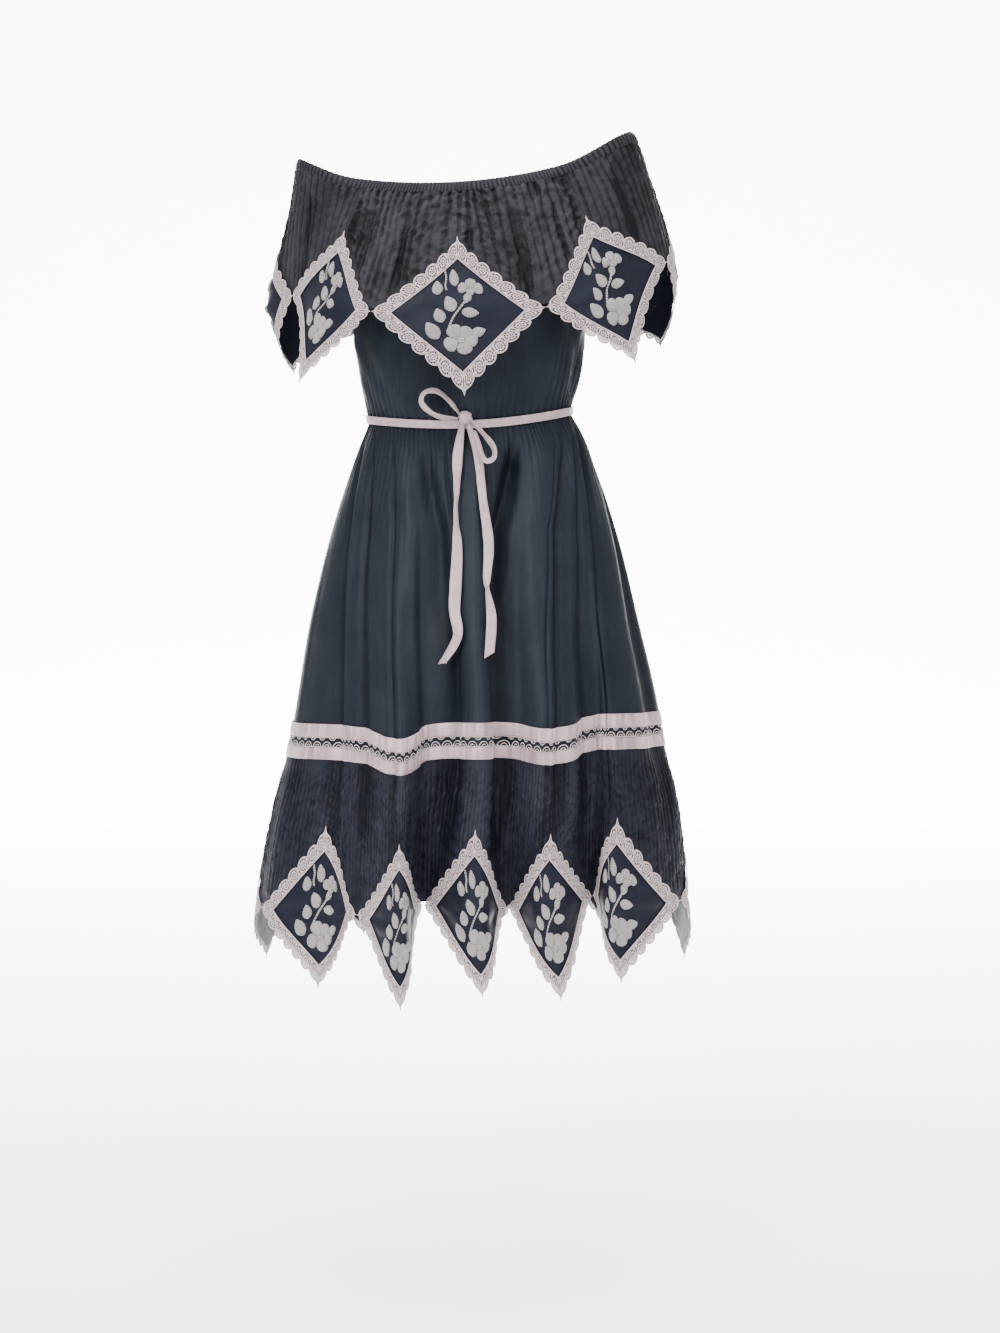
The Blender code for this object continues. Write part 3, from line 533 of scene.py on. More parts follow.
def skirt_form(share, height):
    """Middle of the skirt and tier cloth with its hanging folds."""
    across, depth, unit, others = ring_form(SKIRT_RINGS, share, height)
    fold = others[0]
    hem = SKIRT_RINGS[8]
    hem_across = (hem[2] + hem[1]) / 2 + (hem[2] - hem[1]) / 2 * unit[..., 0]
    hem_depth = np.where(unit[..., 1] < 0.0, -hem[3] * unit[..., 1], hem[4] * unit[..., 1])
    folded = round_curve(HEM_PLAN, share, FOLD_ROUND)
    to_band = ease(WAIST, BAND_TOP, height)
    to_hem = ease(BAND_FOOT, HEM_CORNER, height)
    lean = folded[..., 3] * (HEM_CORNER - height) * to_hem
    across = across + fold * (folded[..., 0] - hem_across) + lean
    depth = depth + fold * (folded[..., 1] - hem_depth)
    lift = (round_curve(WAIST_LIFT, share) * (1.0 - to_band)
            + round_curve(BAND_LIFT, share) * to_band * (1.0 - to_hem) + folded[..., 2] * to_hem)
    return np.stack([across, depth, height + lift], axis=-1)


def moved_out(form, share, level, out):
    """Points of a form moved level, square to the cloth, away from the body."""
    share, level = np.broadcast_arrays(share, level)
    along = form(share + SLOPE_STEP, level) - form(share - SLOPE_STEP, level)
    points = form(share, level)
    reach = out / np.hypot(along[..., 0], along[..., 1])
    points[..., 0] += along[..., 1] * reach
    points[..., 1] -= along[..., 0] * reach
    return points


def pairs(across, down):
    """Two coordinates spread over each other as one grid of places."""
    return np.stack(np.broadcast_arrays(across, down), axis=-1)


def bumps(across, down, kind):
    """Uneven bumps over the cloth, from a row of how far out, width, height and start in the noise."""
    deep, wide, tall, start, start_down = kind
    return deep * soft_noise(across / wide + start, down / tall + start_down)


def gathers(beat, broad, middle):
    """Row of rounded folds, one a beat, with broad tops and narrow troughs about a middle level."""
    return np.abs(np.sin(math.pi * beat)) ** broad - middle


def seam_fade(share, seam):
    """One on open cloth, nought at a seam, so that the cloth of both sides meets there."""
    away = np.abs(np.mod(share - seam + 0.5, 1.0) - 0.5)
    return ease(0.0, SEAM_FLAT, away)


def crinkle(across, down, pitch, creased):
    """How far crinkled cloth stands out: uneven pleats with broad tops, finer ones, and creases across."""
    wander = bumps(across, down, PLEAT_WANDER) + bumps(across, down, PLEAT_WOBBLE)
    tall = 0.60 + bumps(across, down, PLEAT_TALL)
    deep = PLEAT_DEEP * (pitch / FRONT_PITCH) ** 0.5
    pleat = gathers(across / pitch + wander, 0.5, 0.75) * deep * tall
    fine = gathers(across / FINE_PITCH + 1.7 * wander, 0.7, 0.60) * FINE_DEEP
    fine = fine * np.clip(TIER_PITCH / pitch, 0.5, 1.0) * (0.6 + bumps(across, down, FINE_TALL))
    steep, level = CREASE_SLOPE
    rising = bumps(across + steep * down, down - level * across, RISING_CREASE)
    falling = bumps(across - steep * down, down + level * across, FALLING_CREASE)
    mostly = 0.5 + bumps(across, down, CREASE_SWAP)
    crease = (rising * mostly + falling * (1.0 - mostly)) * 1.5 * CREASE_DEEP * creased
    return pleat + fine + bumps(across, down, BROAD_BUMP) + crease


def skirt_crease(share, height):
    """The skirt's main creases, as soft troughs and ridges that run down from the waist."""
    share, height = np.broadcast_arrays(share, height)
    total = np.zeros(share.shape)
    levels = CREASE_HEIGHTS[::-1]
    for half, out, *path in SKIRT_CREASES:
        centre = np.interp(height, levels, path[::-1])
        away = (np.mod(share - centre + 0.5, 1.0) - 0.5) * SKIRT_GIRTH
        total += out * np.exp(-(away / half) ** 2)
    return total * ease(0.005, 0.07, WAIST - height)


def skirt_ripple(share, height):
    """Small gathers below the waist and soft folds between the main ones."""
    across = share * SKIRT_ROUND
    fall = WAIST - height
    pitch, deep = SKIRT_GATHER
    length = 0.050 + bumps(across, 0.0, SKIRT_GATHER_LENGTH)
    gather = gathers(across / pitch + bumps(across, fall, SKIRT_WANDER), 0.7, 0.6) * deep
    gather = gather * np.exp(-((np.maximum(fall, 0.0) / length) ** 1.3))
    soft = bumps(across, fall, SKIRT_SOFT) * ease(0.02, 0.12, fall)
    small = bumps(across, fall, SKIRT_SMALL) * ease(0.02, 0.10, fall)
    return (gather + soft + small) * seam_fade(share, SIDE_SEAM) + skirt_crease(share, height)


def linear(code):
    """An sRGB hex colour as linear red, green, blue and alpha."""
    parts = [int(code[i:i + 2], 16) / 255.0 for i in (1, 3, 5)]
    return tuple(c / 12.92 if c <= 0.04045 else ((c + 0.055) / 1.055) ** 2.4 for c in parts) + (1.0,)


def node(tree, kind, links=(), output=0, **settings):
    """Add one node to a material with its settings and the links into it, and give one of its outputs."""
    made = tree.nodes.new(kind)
    for name, value in settings.items():
        if name.startswith("at_"):
            made.inputs[int(name[3:])].default_value = value
        else:
            setattr(made, name, value)
    for target, source in links:
        tree.links.new(source, made.inputs[target])
    return made.outputs[output]


def maths(tree, operation, *values):
    """A sum of numbers and of what other nodes give."""
    links = [(i, value) for i, value in enumerate(values) if not isinstance(value, float)]
    numbers = {f"at_{i}": value for i, value in enumerate(values) if isinstance(value, float)}
    return node(tree, "ShaderNodeMath", links, operation=operation, **numbers)


def ramp(tree, value, low, high, at_low, at_high):
    """A value that runs from one level to another between two limits."""
    return node(tree, "ShaderNodeMapRange", [("Value", value)],
                at_1=low, at_2=high, at_3=at_low, at_4=at_high)


def blend(tree, share, first, second):
    """A mix of two colours, each an sRGB hex colour or what another node gives."""
    colours = ((6, first), (7, second))
    links = [(0, share)] + [(i, colour) for i, colour in colours if not isinstance(colour, str)]
    plain = {f"at_{i}": linear(colour) for i, colour in colours if isinstance(colour, str)}
    return node(tree, "ShaderNodeMix", links, 2, data_type="RGBA", **plain)


def bump(tree, height, strength, distance, under=None):
    """Fine relief of the surface, over coarser or finer relief under it."""
    links = [("Height", height)] + ([] if under is None else [("Normal", under)])
    return node(tree, "ShaderNodeBump", links, at_0=strength, at_1=distance)


def cloud(tree, place, scale, detail, rough=0.5):
    """Soft uneven tone over the cloth."""
    return node(tree, "ShaderNodeTexNoise", [("Vector", place)], at_2=scale, at_3=detail, at_4=rough)


def bands(tree, place, direction, wavelength, bend, detail):
    """Parallel bands over the cloth, with their spacing in metres."""
    return node(tree, "ShaderNodeTexWave", [("Vector", place)], bands_direction=direction,
                at_1=WAVE_BEAT / wavelength, at_2=bend, at_3=detail)


def stretched(tree, place, across, down):
    """The place on the cloth, stretched differently across and down."""
    return node(tree, "ShaderNodeMapping", [("Vector", place)], at_3=(across, down, 1.0))


def cloth_map(tree, name="cloth"):
    """Place on the cloth in metres, across and down, as one vector and its two parts."""
    place = node(tree, "ShaderNodeUVMap", uv_map=name)
    parts = node(tree, "ShaderNodeSeparateXYZ", [(0, place)]).node.outputs
    return place, parts[0], parts[1]


def ridge_tone(tree):
    """How far the cloth stands out there: nought in a trough, one on a ridge."""
    return cloth_map(tree, "ridge")[1]


def fresh_material(name):
    """An empty node material and its nodes."""
    material = bpy.data.materials.new(name)
    material.use_nodes = True
    return material, material.node_tree


def set_surface(tree, **settings):
    """Set the surface shader's values, or link them to what other nodes give."""
    shader = tree.nodes["Principled BSDF"]
    for name, value in settings.items():
        socket = shader.inputs[name.replace("_", " ")]
        if isinstance(value, bpy.types.NodeSocket):
            tree.links.new(value, socket)
        else:
            socket.default_value = value


def taffeta(name, dark, light, rough, slub, crease_size, crease_strength, trough=0.15):
    """Polyester taffeta: a tight plain weave of smooth yarns, dark with a soft sheen; ridges get painted
    highlight, troughs painted shade.
    """
    material, tree = fresh_material(name)
    place = cloth_map(tree)[0]
    # yarns of 0.25 mm are too fine to show, so the weave is drawn at 0.9 mm
    weft, warp = (bands(tree, place, direction, 0.0009, 1.5, 1.0) for direction in "YX")
    weave = maths(tree, "MULTIPLY", weft, warp)
    # thick places in the yarn, about 30 mm long and under 1 mm wide
    yarn = cloud(tree, stretched(tree, place, 900.0, 35.0), 1.0, 2.0, 0.6)
    crushed = cloud(tree, stretched(tree, place, 0.5 / crease_size, 1.3 / crease_size), 1.0, 4.0, 0.62)
    cloudy = ramp(tree, maths(tree, "ADD", yarn, cloud(tree, place, 14.0, 3.0, 0.55)), 0.65, 1.35, 0.0, 0.4)
    # painted highlight along the cloth's ridges and painted shade in its troughs, from the relief kept in the
    # ridge map
    painted_ridge_light = ramp(tree, ridge_tone(tree), trough, 0.90, 0.0, 0.6)
    ribs = bump(tree, yarn, slub, 0.0003, under=bump(tree, weave, 0.12, 0.0002))
    set_surface(tree, Base_Color=blend(tree, maths(tree, "ADD", cloudy, painted_ridge_light), dark, light),
                Roughness=ramp(tree, crushed, 0.3, 0.7, rough - 0.06, rough + 0.08),
                Normal=bump(tree, crushed, crease_strength, 0.0016, under=ribs),
                Sheen_Weight=0.01, Sheen_Roughness=0.45, Sheen_Tint=linear("#8A93A6"),
                Specular_IOR_Level=0.07)
    return material


def ring_of_slits(tree, radius, turn, at, half, count):
    """One where a ring of short slits lies round a rosette's middle."""
    near = maths(tree, "ABSOLUTE", maths(tree, "SUBTRACT", radius, at))
    wave = maths(tree, "SINE", maths(tree, "MULTIPLY", turn, float(count)))
    return maths(tree, "MULTIPLY", ramp(tree, near, half * 0.7, half * 1.3, 1.0, 0.0),
                 ramp(tree, wave, -0.9, -0.5, 0.0, 1.0))


def rosette_lace():
    """Cotton-like raschel lace: matt yarn knitted in raised rosettes, with tiny slits that look dark."""
    material, tree = fresh_material("raschel_rosette_lace")
    place, along, over = cloth_map(tree)
    # millimetres from the middle of a rosette, along the lace and over it
    part = maths(tree, "FRACT", maths(tree, "DIVIDE", along, SCALLOP_PITCH))
    x = maths(tree, "MULTIPLY", maths(tree, "SUBTRACT", part, 0.5), SCALLOP_PITCH * 1000.0)
    y = maths(tree, "MULTIPLY_ADD", over, 1000.0, -ROSETTE_MIDDLE)
    turn = maths(tree, "ARCTAN2", y, x)
    radius = maths(tree, "SQRT", maths(tree, "MULTIPLY_ADD", y, y, maths(tree, "MULTIPLY", x, x)))
    holes = [ring_of_slits(tree, radius, turn, *ring) for ring in ROSETTE_RINGS]
    holes.append(ramp(tree, radius, 0.7, 1.3, 0.8, 0.0))
    # the dotted lines inside the straight edge and inside the scallops
    dots = maths(tree, "SINE", maths(tree, "MULTIPLY", along, 6.2832 * 9.0 / SCALLOP_PITCH))
    dotted = ramp(tree, dots, -0.5, -0.1, 0.0, 1.0)
    for line, half in DOTTED_LINES:
        near = maths(tree, "ABSOLUTE", maths(tree, "MULTIPLY_ADD", over, 1000.0, -line))
        holes.append(maths(tree, "MULTIPLY", ramp(tree, near, half * 0.7, half * 1.4, 0.9, 0.0), dotted))
    # the open web between two rosettes
    between = ramp(tree, maths(tree, "ABSOLUTE", x), 8.0, 8.7, 0.0, 0.8)
    low = ramp(tree, over, 0.0120, 0.0128, 1.0, 0.0)
    high = ramp(tree, over, 0.0046, 0.0054, 0.0, 1.0)
    hole = maths(tree, "MULTIPLY", maths(tree, "MULTIPLY", between, low), high)
    for more in holes:
        hole = maths(tree, "MAXIMUM", hole, more)
    # knitted yarn of 0.5 mm, drawn at 0.8 mm
    yarn = node(tree, "ShaderNodeTexVoronoi", [("Vector", place)], at_2=1.0 / 0.0008)
    yarn_colour = blend(tree, cloud(tree, place, 60.0, 3.0), "#9C8A8F", "#B4A1A0")
    cords = maths(tree, "SUBTRACT", ramp(tree, radius, 0.0, 7.5, 1.0, 0.0), hole)
    # the slits are painted nearly black and left part see-through: painted shade in them, standing also for
    # the dark cloth behind
    set_surface(tree, Base_Color=blend(tree, hole, yarn_colour, "#1D1A20"),
                Alpha=ramp(tree, hole, 0.0, 1.0, 1.0, 0.55),
                Normal=bump(tree, yarn, 0.35, 0.0004, under=bump(tree, cords, 0.75, 0.0009)),
                Roughness=0.85, Sheen_Weight=0.25, Sheen_Roughness=0.6)
    return material


def embroidery_floss():
    """Satin-stitched cotton floss: rows of parallel threads with a soft gloss along them."""
    material, tree = fresh_material("cream_cotton_floss")
    place, across, _ = cloth_map(tree)
    # floss strands of 0.4 mm are too fine to show, so they are drawn at 1.8 mm
    strand = maths(tree, "MULTIPLY", across, 6.2832 / 0.0018)
    wave = maths(tree, "SINE", maths(tree, "MULTIPLY_ADD", cloud(tree, place, 160.0, 2.0), 3.0, strand))
    # the grooves between strands are painted darker as shade and their tops paler, and the same pattern is
    # their relief
    groove = ramp(tree, wave, -1.0, 0.4, 0.0, 1.0)
    set_surface(tree, Base_Color=blend(tree, groove, "#4E4A4B", "#989290"),
                Normal=bump(tree, groove, 1.0, 0.0008), Roughness=0.62, Sheen_Weight=0.3)
    return material


def satin_ribbon():
    """Polyester satin ribbon: long smooth floats across its width give it a soft gloss."""
    material, tree = fresh_material("pink_satin_ribbon")
    place = cloth_map(tree)[0]
    # warp floats of 0.2 mm, drawn at 0.7 mm
    ribs = bump(tree, bands(tree, place, "X", 0.0007, 0.8, 1.0), 0.15, 0.0002)
    puckered = cloud(tree, stretched(tree, place, 90.0, 18.0), 1.0, 3.0, 0.6)
    shade = ramp(tree, maths(tree, "ADD", puckered, ridge_tone(tree)), 0.55, 1.45, 0.0, 1.0)
    set_surface(tree, Base_Color=blend(tree, shade, "#7C666D", "#B09A9A"),
                Roughness=ramp(tree, puckered, 0.3, 0.7, 0.36, 0.52),
                Normal=bump(tree, puckered, 0.5, 0.0010, under=ribs), Sheen_Weight=0.2)
    return material


def insertion_thread():
    """Corded cotton insertion lace: thick matt thread laid in scallops and fans over the cloth."""
    material, tree = fresh_material("corded_insertion_thread")
    twist = bands(tree, cloth_map(tree)[0], "DIAGONAL", 0.0010, 2.0, 2.0)
    # the grooves of the cord's twist are painted darker as shade, and the same bands are its relief
    set_surface(tree, Base_Color=blend(tree, twist, "#958789", "#BDAFAD"),
                Normal=bump(tree, twist, 0.4, 0.0003), Roughness=0.85)
    return material


def add_mesh(name, points, faces, corner_places, material):
    """A smoothly shaded piece with its cloth places as a map."""
    mesh = bpy.data.meshes.new(name)
    mesh.vertices.add(len(points))
    mesh.vertices.foreach_set("co", points.ravel())
    mesh.loops.add(faces.size)
    mesh.loops.foreach_set("vertex_index", faces.ravel())
    mesh.polygons.add(len(faces))
    mesh.polygons.foreach_set("loop_start", np.arange(0, faces.size, faces.shape[1]))
    mesh.polygons.foreach_set("use_smooth", np.ones(len(faces), bool))
    cloth = mesh.uv_layers.new(name="cloth")
    cloth.data.foreach_set("uv", corner_places.ravel())
    mesh.update(calc_edges=True)
    mesh.validate()
    mesh.materials.append(material)
    piece = bpy.data.objects.new(name, mesh)
    bpy.context.scene.collection.objects.link(piece)
    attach(piece, "root")
    return piece


def grid_quads(rows, columns, closed=False):
    """Corner numbers of a grid's faces, seen from outside, and the same for its places."""
    across = columns + 1
    number = np.arange(rows * across).reshape(rows, across)
    points = number
    if closed:
        points = np.arange(rows * columns).reshape(rows, columns)
        points = np.concatenate([points, points[:, :1]], axis=1)
    return [np.stack([grid[1:, :-1], grid[1:, 1:], grid[:-1, 1:], grid[:-1, :-1]], axis=-1).reshape(-1, 4)
            for grid in (points, number)]


def add_sheet_grid(name, points, places, material, closed=False, relief=0.0):
    """A piece of cloth from rows of points; places holds one column more than a closed row of points."""
    faces, place_corners = grid_quads(places.shape[0], places.shape[1] - 1, closed)
    piece = add_mesh(name, points.reshape(-1, 3), faces, places.reshape(-1, 2)[place_corners], material)
    # the relief is kept in a map named ridge, from which the materials paint highlight on ridges and shade in
    # troughs
    high = np.clip(0.5 + 0.5 * np.broadcast_to(relief, points.shape[:2]), 0.0, 1.0).ravel()[faces.ravel()]
    ridge = piece.data.uv_layers.new(name="ridge")
    ridge.data.foreach_set("uv", pairs(high, high).ravel())
    return piece


def add_patches(name, patches, material, turned=False):
    """One piece of several grids of points with their cloth places, turned where rows run the other way."""
    points = []
    faces = []
    corner_places = []
    total = 0
    for grid, places in patches:
        rows, columns = grid.shape[:2]
        quads = grid_quads(rows, columns - 1)[0]
        if turned:
            quads = quads[:, ::-1]
        points.append(grid.reshape(-1, 3))
        faces.append(quads + total)
        corner_places.append(places.reshape(-1, 2)[quads])
        total += rows * columns
    joined = (np.concatenate(parts) for parts in (points, faces, corner_places))
    return add_mesh(name, *joined, material)


def thicken(piece, thick):
    """Give a piece its thickness, inwards from its outer face."""
    solid = piece.modifiers.new("thickness", "SOLIDIFY")
    solid.thickness = thick
    solid.offset = -1.0
    solid.use_rim = True


def cloth_area(piece):
    """Area of a piece as it is made."""
    mesh = piece.data
    area = np.empty(len(mesh.polygons))
    mesh.polygons.foreach_get("area", area)
    return float(area.sum())


def gathered_cloth(piece, node_name):
    """Hide the part that a gathered piece stands for; its area is worked out but not used."""
    area = cloth_area(piece)
    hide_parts(node_name)


def laid_ribbon(piece, node_name):
    """Hide the part that a ribbon stands for, and give the ribbon its thickness."""
    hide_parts(node_name)
    thicken(piece, RIBBON_THICK)


def inset_line(tall, inset, x):
    """Height at x of a diamond's straight side moved in by the inset."""
    return tall * (1.0 - x / DIAMOND_HALF) - inset * math.hypot(DIAMOND_HALF, tall) / DIAMOND_HALF


def inset_corner(up, down, inset):
    """Side corner of a diamond whose sides are all moved in by the inset."""
    upper = inset * math.hypot(DIAMOND_HALF, up) / (DIAMOND_HALF * up)
    lower = inset * math.hypot(DIAMOND_HALF, down) / (DIAMOND_HALF * down)
    height = (lower - upper) / (1.0 / up + 1.0 / down)
    return DIAMOND_HALF * (1.0 - upper - height / up), height


class Edge:
    """One zigzag edge of diamonds: its cloth form, number, side-corner level, heights, and way up."""

    def __init__(self, label, form, count, corner, up, down, sign, seed):
        self.label = label
        self.form = form
        self.count = count
        self.corner = corner
        self.up = up
        self.down = down
        self.sign = sign
        self.seed = seed

    def place(self, number, x, y, out):
        """Points of a diamond's own plan, laid on the cloth."""
        share = number / self.count + x / (2.0 * DIAMOND_HALF * self.count)
        return moved_out(self.form, share, self.corner + self.sign * y, out)


FLOUNCE_EDGE = Edge("flounce", flounce_form, FLOUNCE_DIAMONDS, FLOUNCE_CORNER, FLOUNCE_UP, FLOUNCE_DOWN,
                    -1.0, 40.0)
HEM_EDGE = Edge("hem", skirt_form, HEM_DIAMONDS, HEM_CORNER, HEM_UP, HEM_DOWN, 1.0, 0.0)


def panel_pucker(edge, number, x, y):
    """Small puckers of a diamond's plain panel, none at its seam."""
    inside = np.minimum(inset_line(edge.up, LACE_WIDE, np.abs(x)) - y,
                        inset_line(edge.down, LACE_WIDE, np.abs(x)) + y)
    seed = 5.0 * number + edge.seed
    return bumps(x, y, (*PANEL_PUCKER, seed, seed * 0.7)) * ease(0.0, 0.012, inside)


def make_panel(edge, number, material):
    """Plain dark panel of one diamond."""
    corner_x, corner_y = inset_corner(edge.up, edge.down, PANEL_INSET)
    x = np.linspace(-corner_x, corner_x, 37)
    top = np.maximum(inset_line(edge.up, PANEL_INSET, np.abs(x)), corner_y + EDGE_CLEAR)
    foot = np.minimum(-inset_line(edge.down, PANEL_INSET, np.abs(x)), corner_y - EDGE_CLEAR)
    part = np.linspace(0.0, 1.0, 25)[:, None]
    y = top + part * (foot - top)
    points = edge.place(number, x, y, panel_pucker(edge, number, x, y))
    places = pairs(x + 0.3 * number, -y)
    piece = add_sheet_grid(f"{edge.label}_panel_cloth_{number + 1}", points, places, material)
    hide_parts(f"{edge.label}_panel_{number + 1}")


def lace_sides(edge):
    """Plan of a diamond's lace frame and its places: rows from the inner edge out, columns all round."""
    inner_x, inner_y = inset_corner(edge.up, edge.down, LACE_WIDE)
    inner = np.array(((0.0, inset_line(edge.up, LACE_WIDE, 0.0)), (inner_x, inner_y),
                      (0.0, -inset_line(edge.down, LACE_WIDE, 0.0)), (-inner_x, inner_y)))
    half = DIAMOND_HALF - SEAM
    outer = np.array(((0.0, edge.up), (half, 0.0), (0.0, -edge.down), (-half, 0.0)))
    steps = SCALLOPS * SCALLOP_STEPS
    t = np.arange(steps) / steps
    over = np.linspace(0.0, 1.0, LACE_ROWS)[:, None]
    dip = SCALLOP_DEEP * (1.0 - np.abs(np.sin(math.pi * t * SCALLOPS)) ** 0.75)
    dip = np.where(t < 0.02, dip * ease(0.0, 0.02, t), dip)
    # lace points drawn out at the top and bottom corners, on the sides after and before each corner
    after = LACE_TAIL * np.exp(-((t * steps / 1.6) ** 2))
    before = LACE_TAIL * np.exp(-(((steps - t * steps) / 1.6) ** 2))
    tails = (after, -before, -after, before)
    plans = []
    places = []
    for i in range(4):
        in_line = inner[i] + t[:, None] * (inner[(i + 1) % 4] - inner[i])
        out_line = outer[i] + t[:, None] * (outer[(i + 1) % 4] - outer[i])
        inward = in_line - out_line
        inward /= np.linalg.norm(inward, axis=1, keepdims=True)
        out_line = out_line + inward * dip[:, None]
        out_line[:, 1] += tails[i]
        plans.append(out_line + (1.0 - over)[..., None] * (in_line - out_line))
        places.append(pairs((i * steps + np.arange(steps)) / SCALLOP_STEPS * SCALLOP_PITCH, over * LACE_WIDE))
    places.append(pairs(np.array([4 * SCALLOPS * SCALLOP_PITCH]), over * LACE_WIDE))
    return np.concatenate(plans, axis=1)[::-1], np.concatenate(places, axis=1)[::-1], over[::-1]


def make_lace(edge, number, material):
    """Scalloped lace frame of one diamond, mitred at its corners."""
    plan, places, over = lace_sides(edge)
    x, y = plan[..., 0], plan[..., 1]
    wave = bumps(x, y, (*LACE_WAVE, number * 9.0, 0.0)) * ease(0.3, 1.0, over)
    points = edge.place(number, x, y, LACE_LIFT + LACE_THICK + wave)
    piece = add_sheet_grid(f"{edge.label}_lace_edging_{number + 1}", points, places, material, closed=True)
    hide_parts(f"{edge.label}_lace_{number + 1}")
    thicken(piece, LACE_THICK)


def stitched_pad(kind, length, width):
    """Plan and height of one padded satin-stitch shape: rows across, columns along, in millimetres."""
    t = np.linspace(0.0, 1.0, 25)[None, :]
    q = np.linspace(-1.0, 1.0, 9)[:, None]
    if kind == "leaf":
        profile = np.sin(math.pi * t ** 0.80) ** 0.75
    elif kind == "petal":
        profile = np.sin(math.pi * t ** 1.35) ** 0.55 * (0.75 + 0.25 * t)
    else:
        profile = np.sin(math.pi * t) ** 0.5
    profile = np.maximum(profile, 0.03)
    ragged = 1.0 + (0.05 * np.sin(t * length * 4.1) + 0.04 * np.sin(t * length * 2.3 + q)) * np.abs(q)
    high = np.sqrt(np.clip(1.0 - np.abs(q) ** 2.6, 0.0, 1.0)) * np.clip(profile * 1.6, 0.0, 1.0)
    return (t - 0.5) * length + 0.0 * q, q * profile * width / 2 * ragged, high


def sprig_strand(stations, wide):
    """A raised line of stem stitch, as rows across and columns along."""
    stations = np.array(stations)
    place = np.linspace(0.0, len(stations) - 1.0, 15)
    x, y = (level_curve(np.arange(len(stations)), stations[:, k], place) for k in (0, 1))
    heading = np.arctan2(np.gradient(y), np.gradient(x))
    q = np.linspace(-1.0, 1.0, 5)[:, None]
    return (x - np.sin(heading) * q * wide / 2, y + np.cos(heading) * q * wide / 2,
            np.sqrt(np.clip(1.0 - q * q, 0.0, 1.0)) * np.ones_like(x) * 0.6, pairs(place * 0.006, q * 0.001))


def make_sprig(edge, number, material):
    """Raised sprig of a rose, a bud and leaves, worked in padded satin stitch."""
    parts = []
    for kind, across, up, length, width, turn in SPRIG:
        x, y, high = stitched_pad(kind, length, width)
        angle = math.radians(turn)
        # stitches lie across a leaf, and along a petal or an eye
        place = (pairs(x, y) if kind == "leaf" else pairs(y, x)) * 0.001
        parts.append((across + x * math.cos(angle) - y * math.sin(angle),
                      up + x * math.sin(angle) + y * math.cos(angle),
                      high * (EYE_HIGHER if kind == "eye" else 1.0), place))
    parts.append(sprig_strand(STEM, STEM_WIDE))
    parts.append(sprig_strand(TWIG, TWIG_WIDE))
    patches = []
    for x, y, high, place in parts:
        x = x * 0.001
        y = y * 0.001
        lift = panel_pucker(edge, number, x, y) + SPRIG_LIFT + high * PAD_HIGH
        patches.append((edge.place(number, x, y, lift), place))
    piece = add_patches(f"{edge.label}_sprig_{number + 1}", patches, material, turned=True)


def make_casing(material):
    """Neck casing ruched tight on its elastic."""
    columns = CASING_GATHERS * 6
    share = np.arange(columns) / columns
    turns = np.linspace(0.0, 2.0 * math.pi, CASING_ROWS)[:, None]
    beat = CASING_GATHERS * share + bumps(share, 0.0, CASING_WANDER)
    ruche = gathers(beat, 0.8, 0.5) * (0.8 + bumps(share, 0.0, CASING_TALLER))
    down = CASING_TALL / 2 + 0.0002 - (CASING_TALL / 2) * np.cos(turns) * (1.0 + 0.22 * ruche)
    out = np.sin(turns) * CASING_THICK / 2 * (1.0 + ruche)
    points = moved_out(flounce_form, share, down, out)
    places = pairs(np.linspace(0.0, 1.0, columns + 1), turns * 0.004)
    piece = add_sheet_grid("neck_casing_cloth", points, places, material, closed=True, relief=2.2 * ruche)
    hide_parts("neck_casing")


def pointed_edge(share, diamonds, up):
    """How far a cut edge lies from the diamonds' side corners, round under their lace."""
    across = (np.mod(share * diamonds + 0.5, 1.0) - 0.5) * 2 * DIAMOND_HALF
    return np.maximum(inset_line(up, PANEL_INSET - SEAM, np.abs(across)), POINT_ROUND)


def make_flounce(label, first, last, pitch, creased, material):
    """One crinkled panel of the flounce, cut in points over the diamonds."""
    round_cut = 2 * DIAMOND_HALF * FLOUNCE_DIAMONDS
    share = np.linspace(first, last, int((last - first) * round_cut / CRINKLE_STEP) + 1)
    foot = FLOUNCE_CORNER - pointed_edge(share, FLOUNCE_DIAMONDS, FLOUNCE_UP)
    top = CASING_TALL - FLOUNCE_TUCK
    down = top + np.linspace(0.0, 1.0, FLOUNCE_ROWS)[:, None] * (foot - top)
    cut = share * round_cut + 0.0 * down
    flat = ease(0.002, FLAT_UNDER_LACE + 0.006, foot - down)
    out = crinkle(cut, down, pitch, creased) * flat * (1.0 + 0.35 * (1.0 - ease(0.0, 0.05, down)))
    for place, half, deep in FLOUNCE_FOLDS:
        out -= deep * np.exp(-((cut - place) / half) ** 2) * ease(0.02, 0.08, down) * flat
    out *= seam_fade(share, -1.0 / FLOUNCE_DIAMONDS) * (0.15 + 0.85 * ease(0.0, 0.007, down - top))
    points = moved_out(flounce_form, share, down, out)
    piece = add_sheet_grid(f"flounce_{label}_cloth", points, pairs(cut, down), material,
                           relief=(out + PLEAT_MIDDLE) / RELIEF_DEEP)
    gathered_cloth(piece, f"flounce_{label}")


def waist_height(share):
    """Height of the waist seam."""
    return WAIST + round_curve(WAIST_LIFT, share)


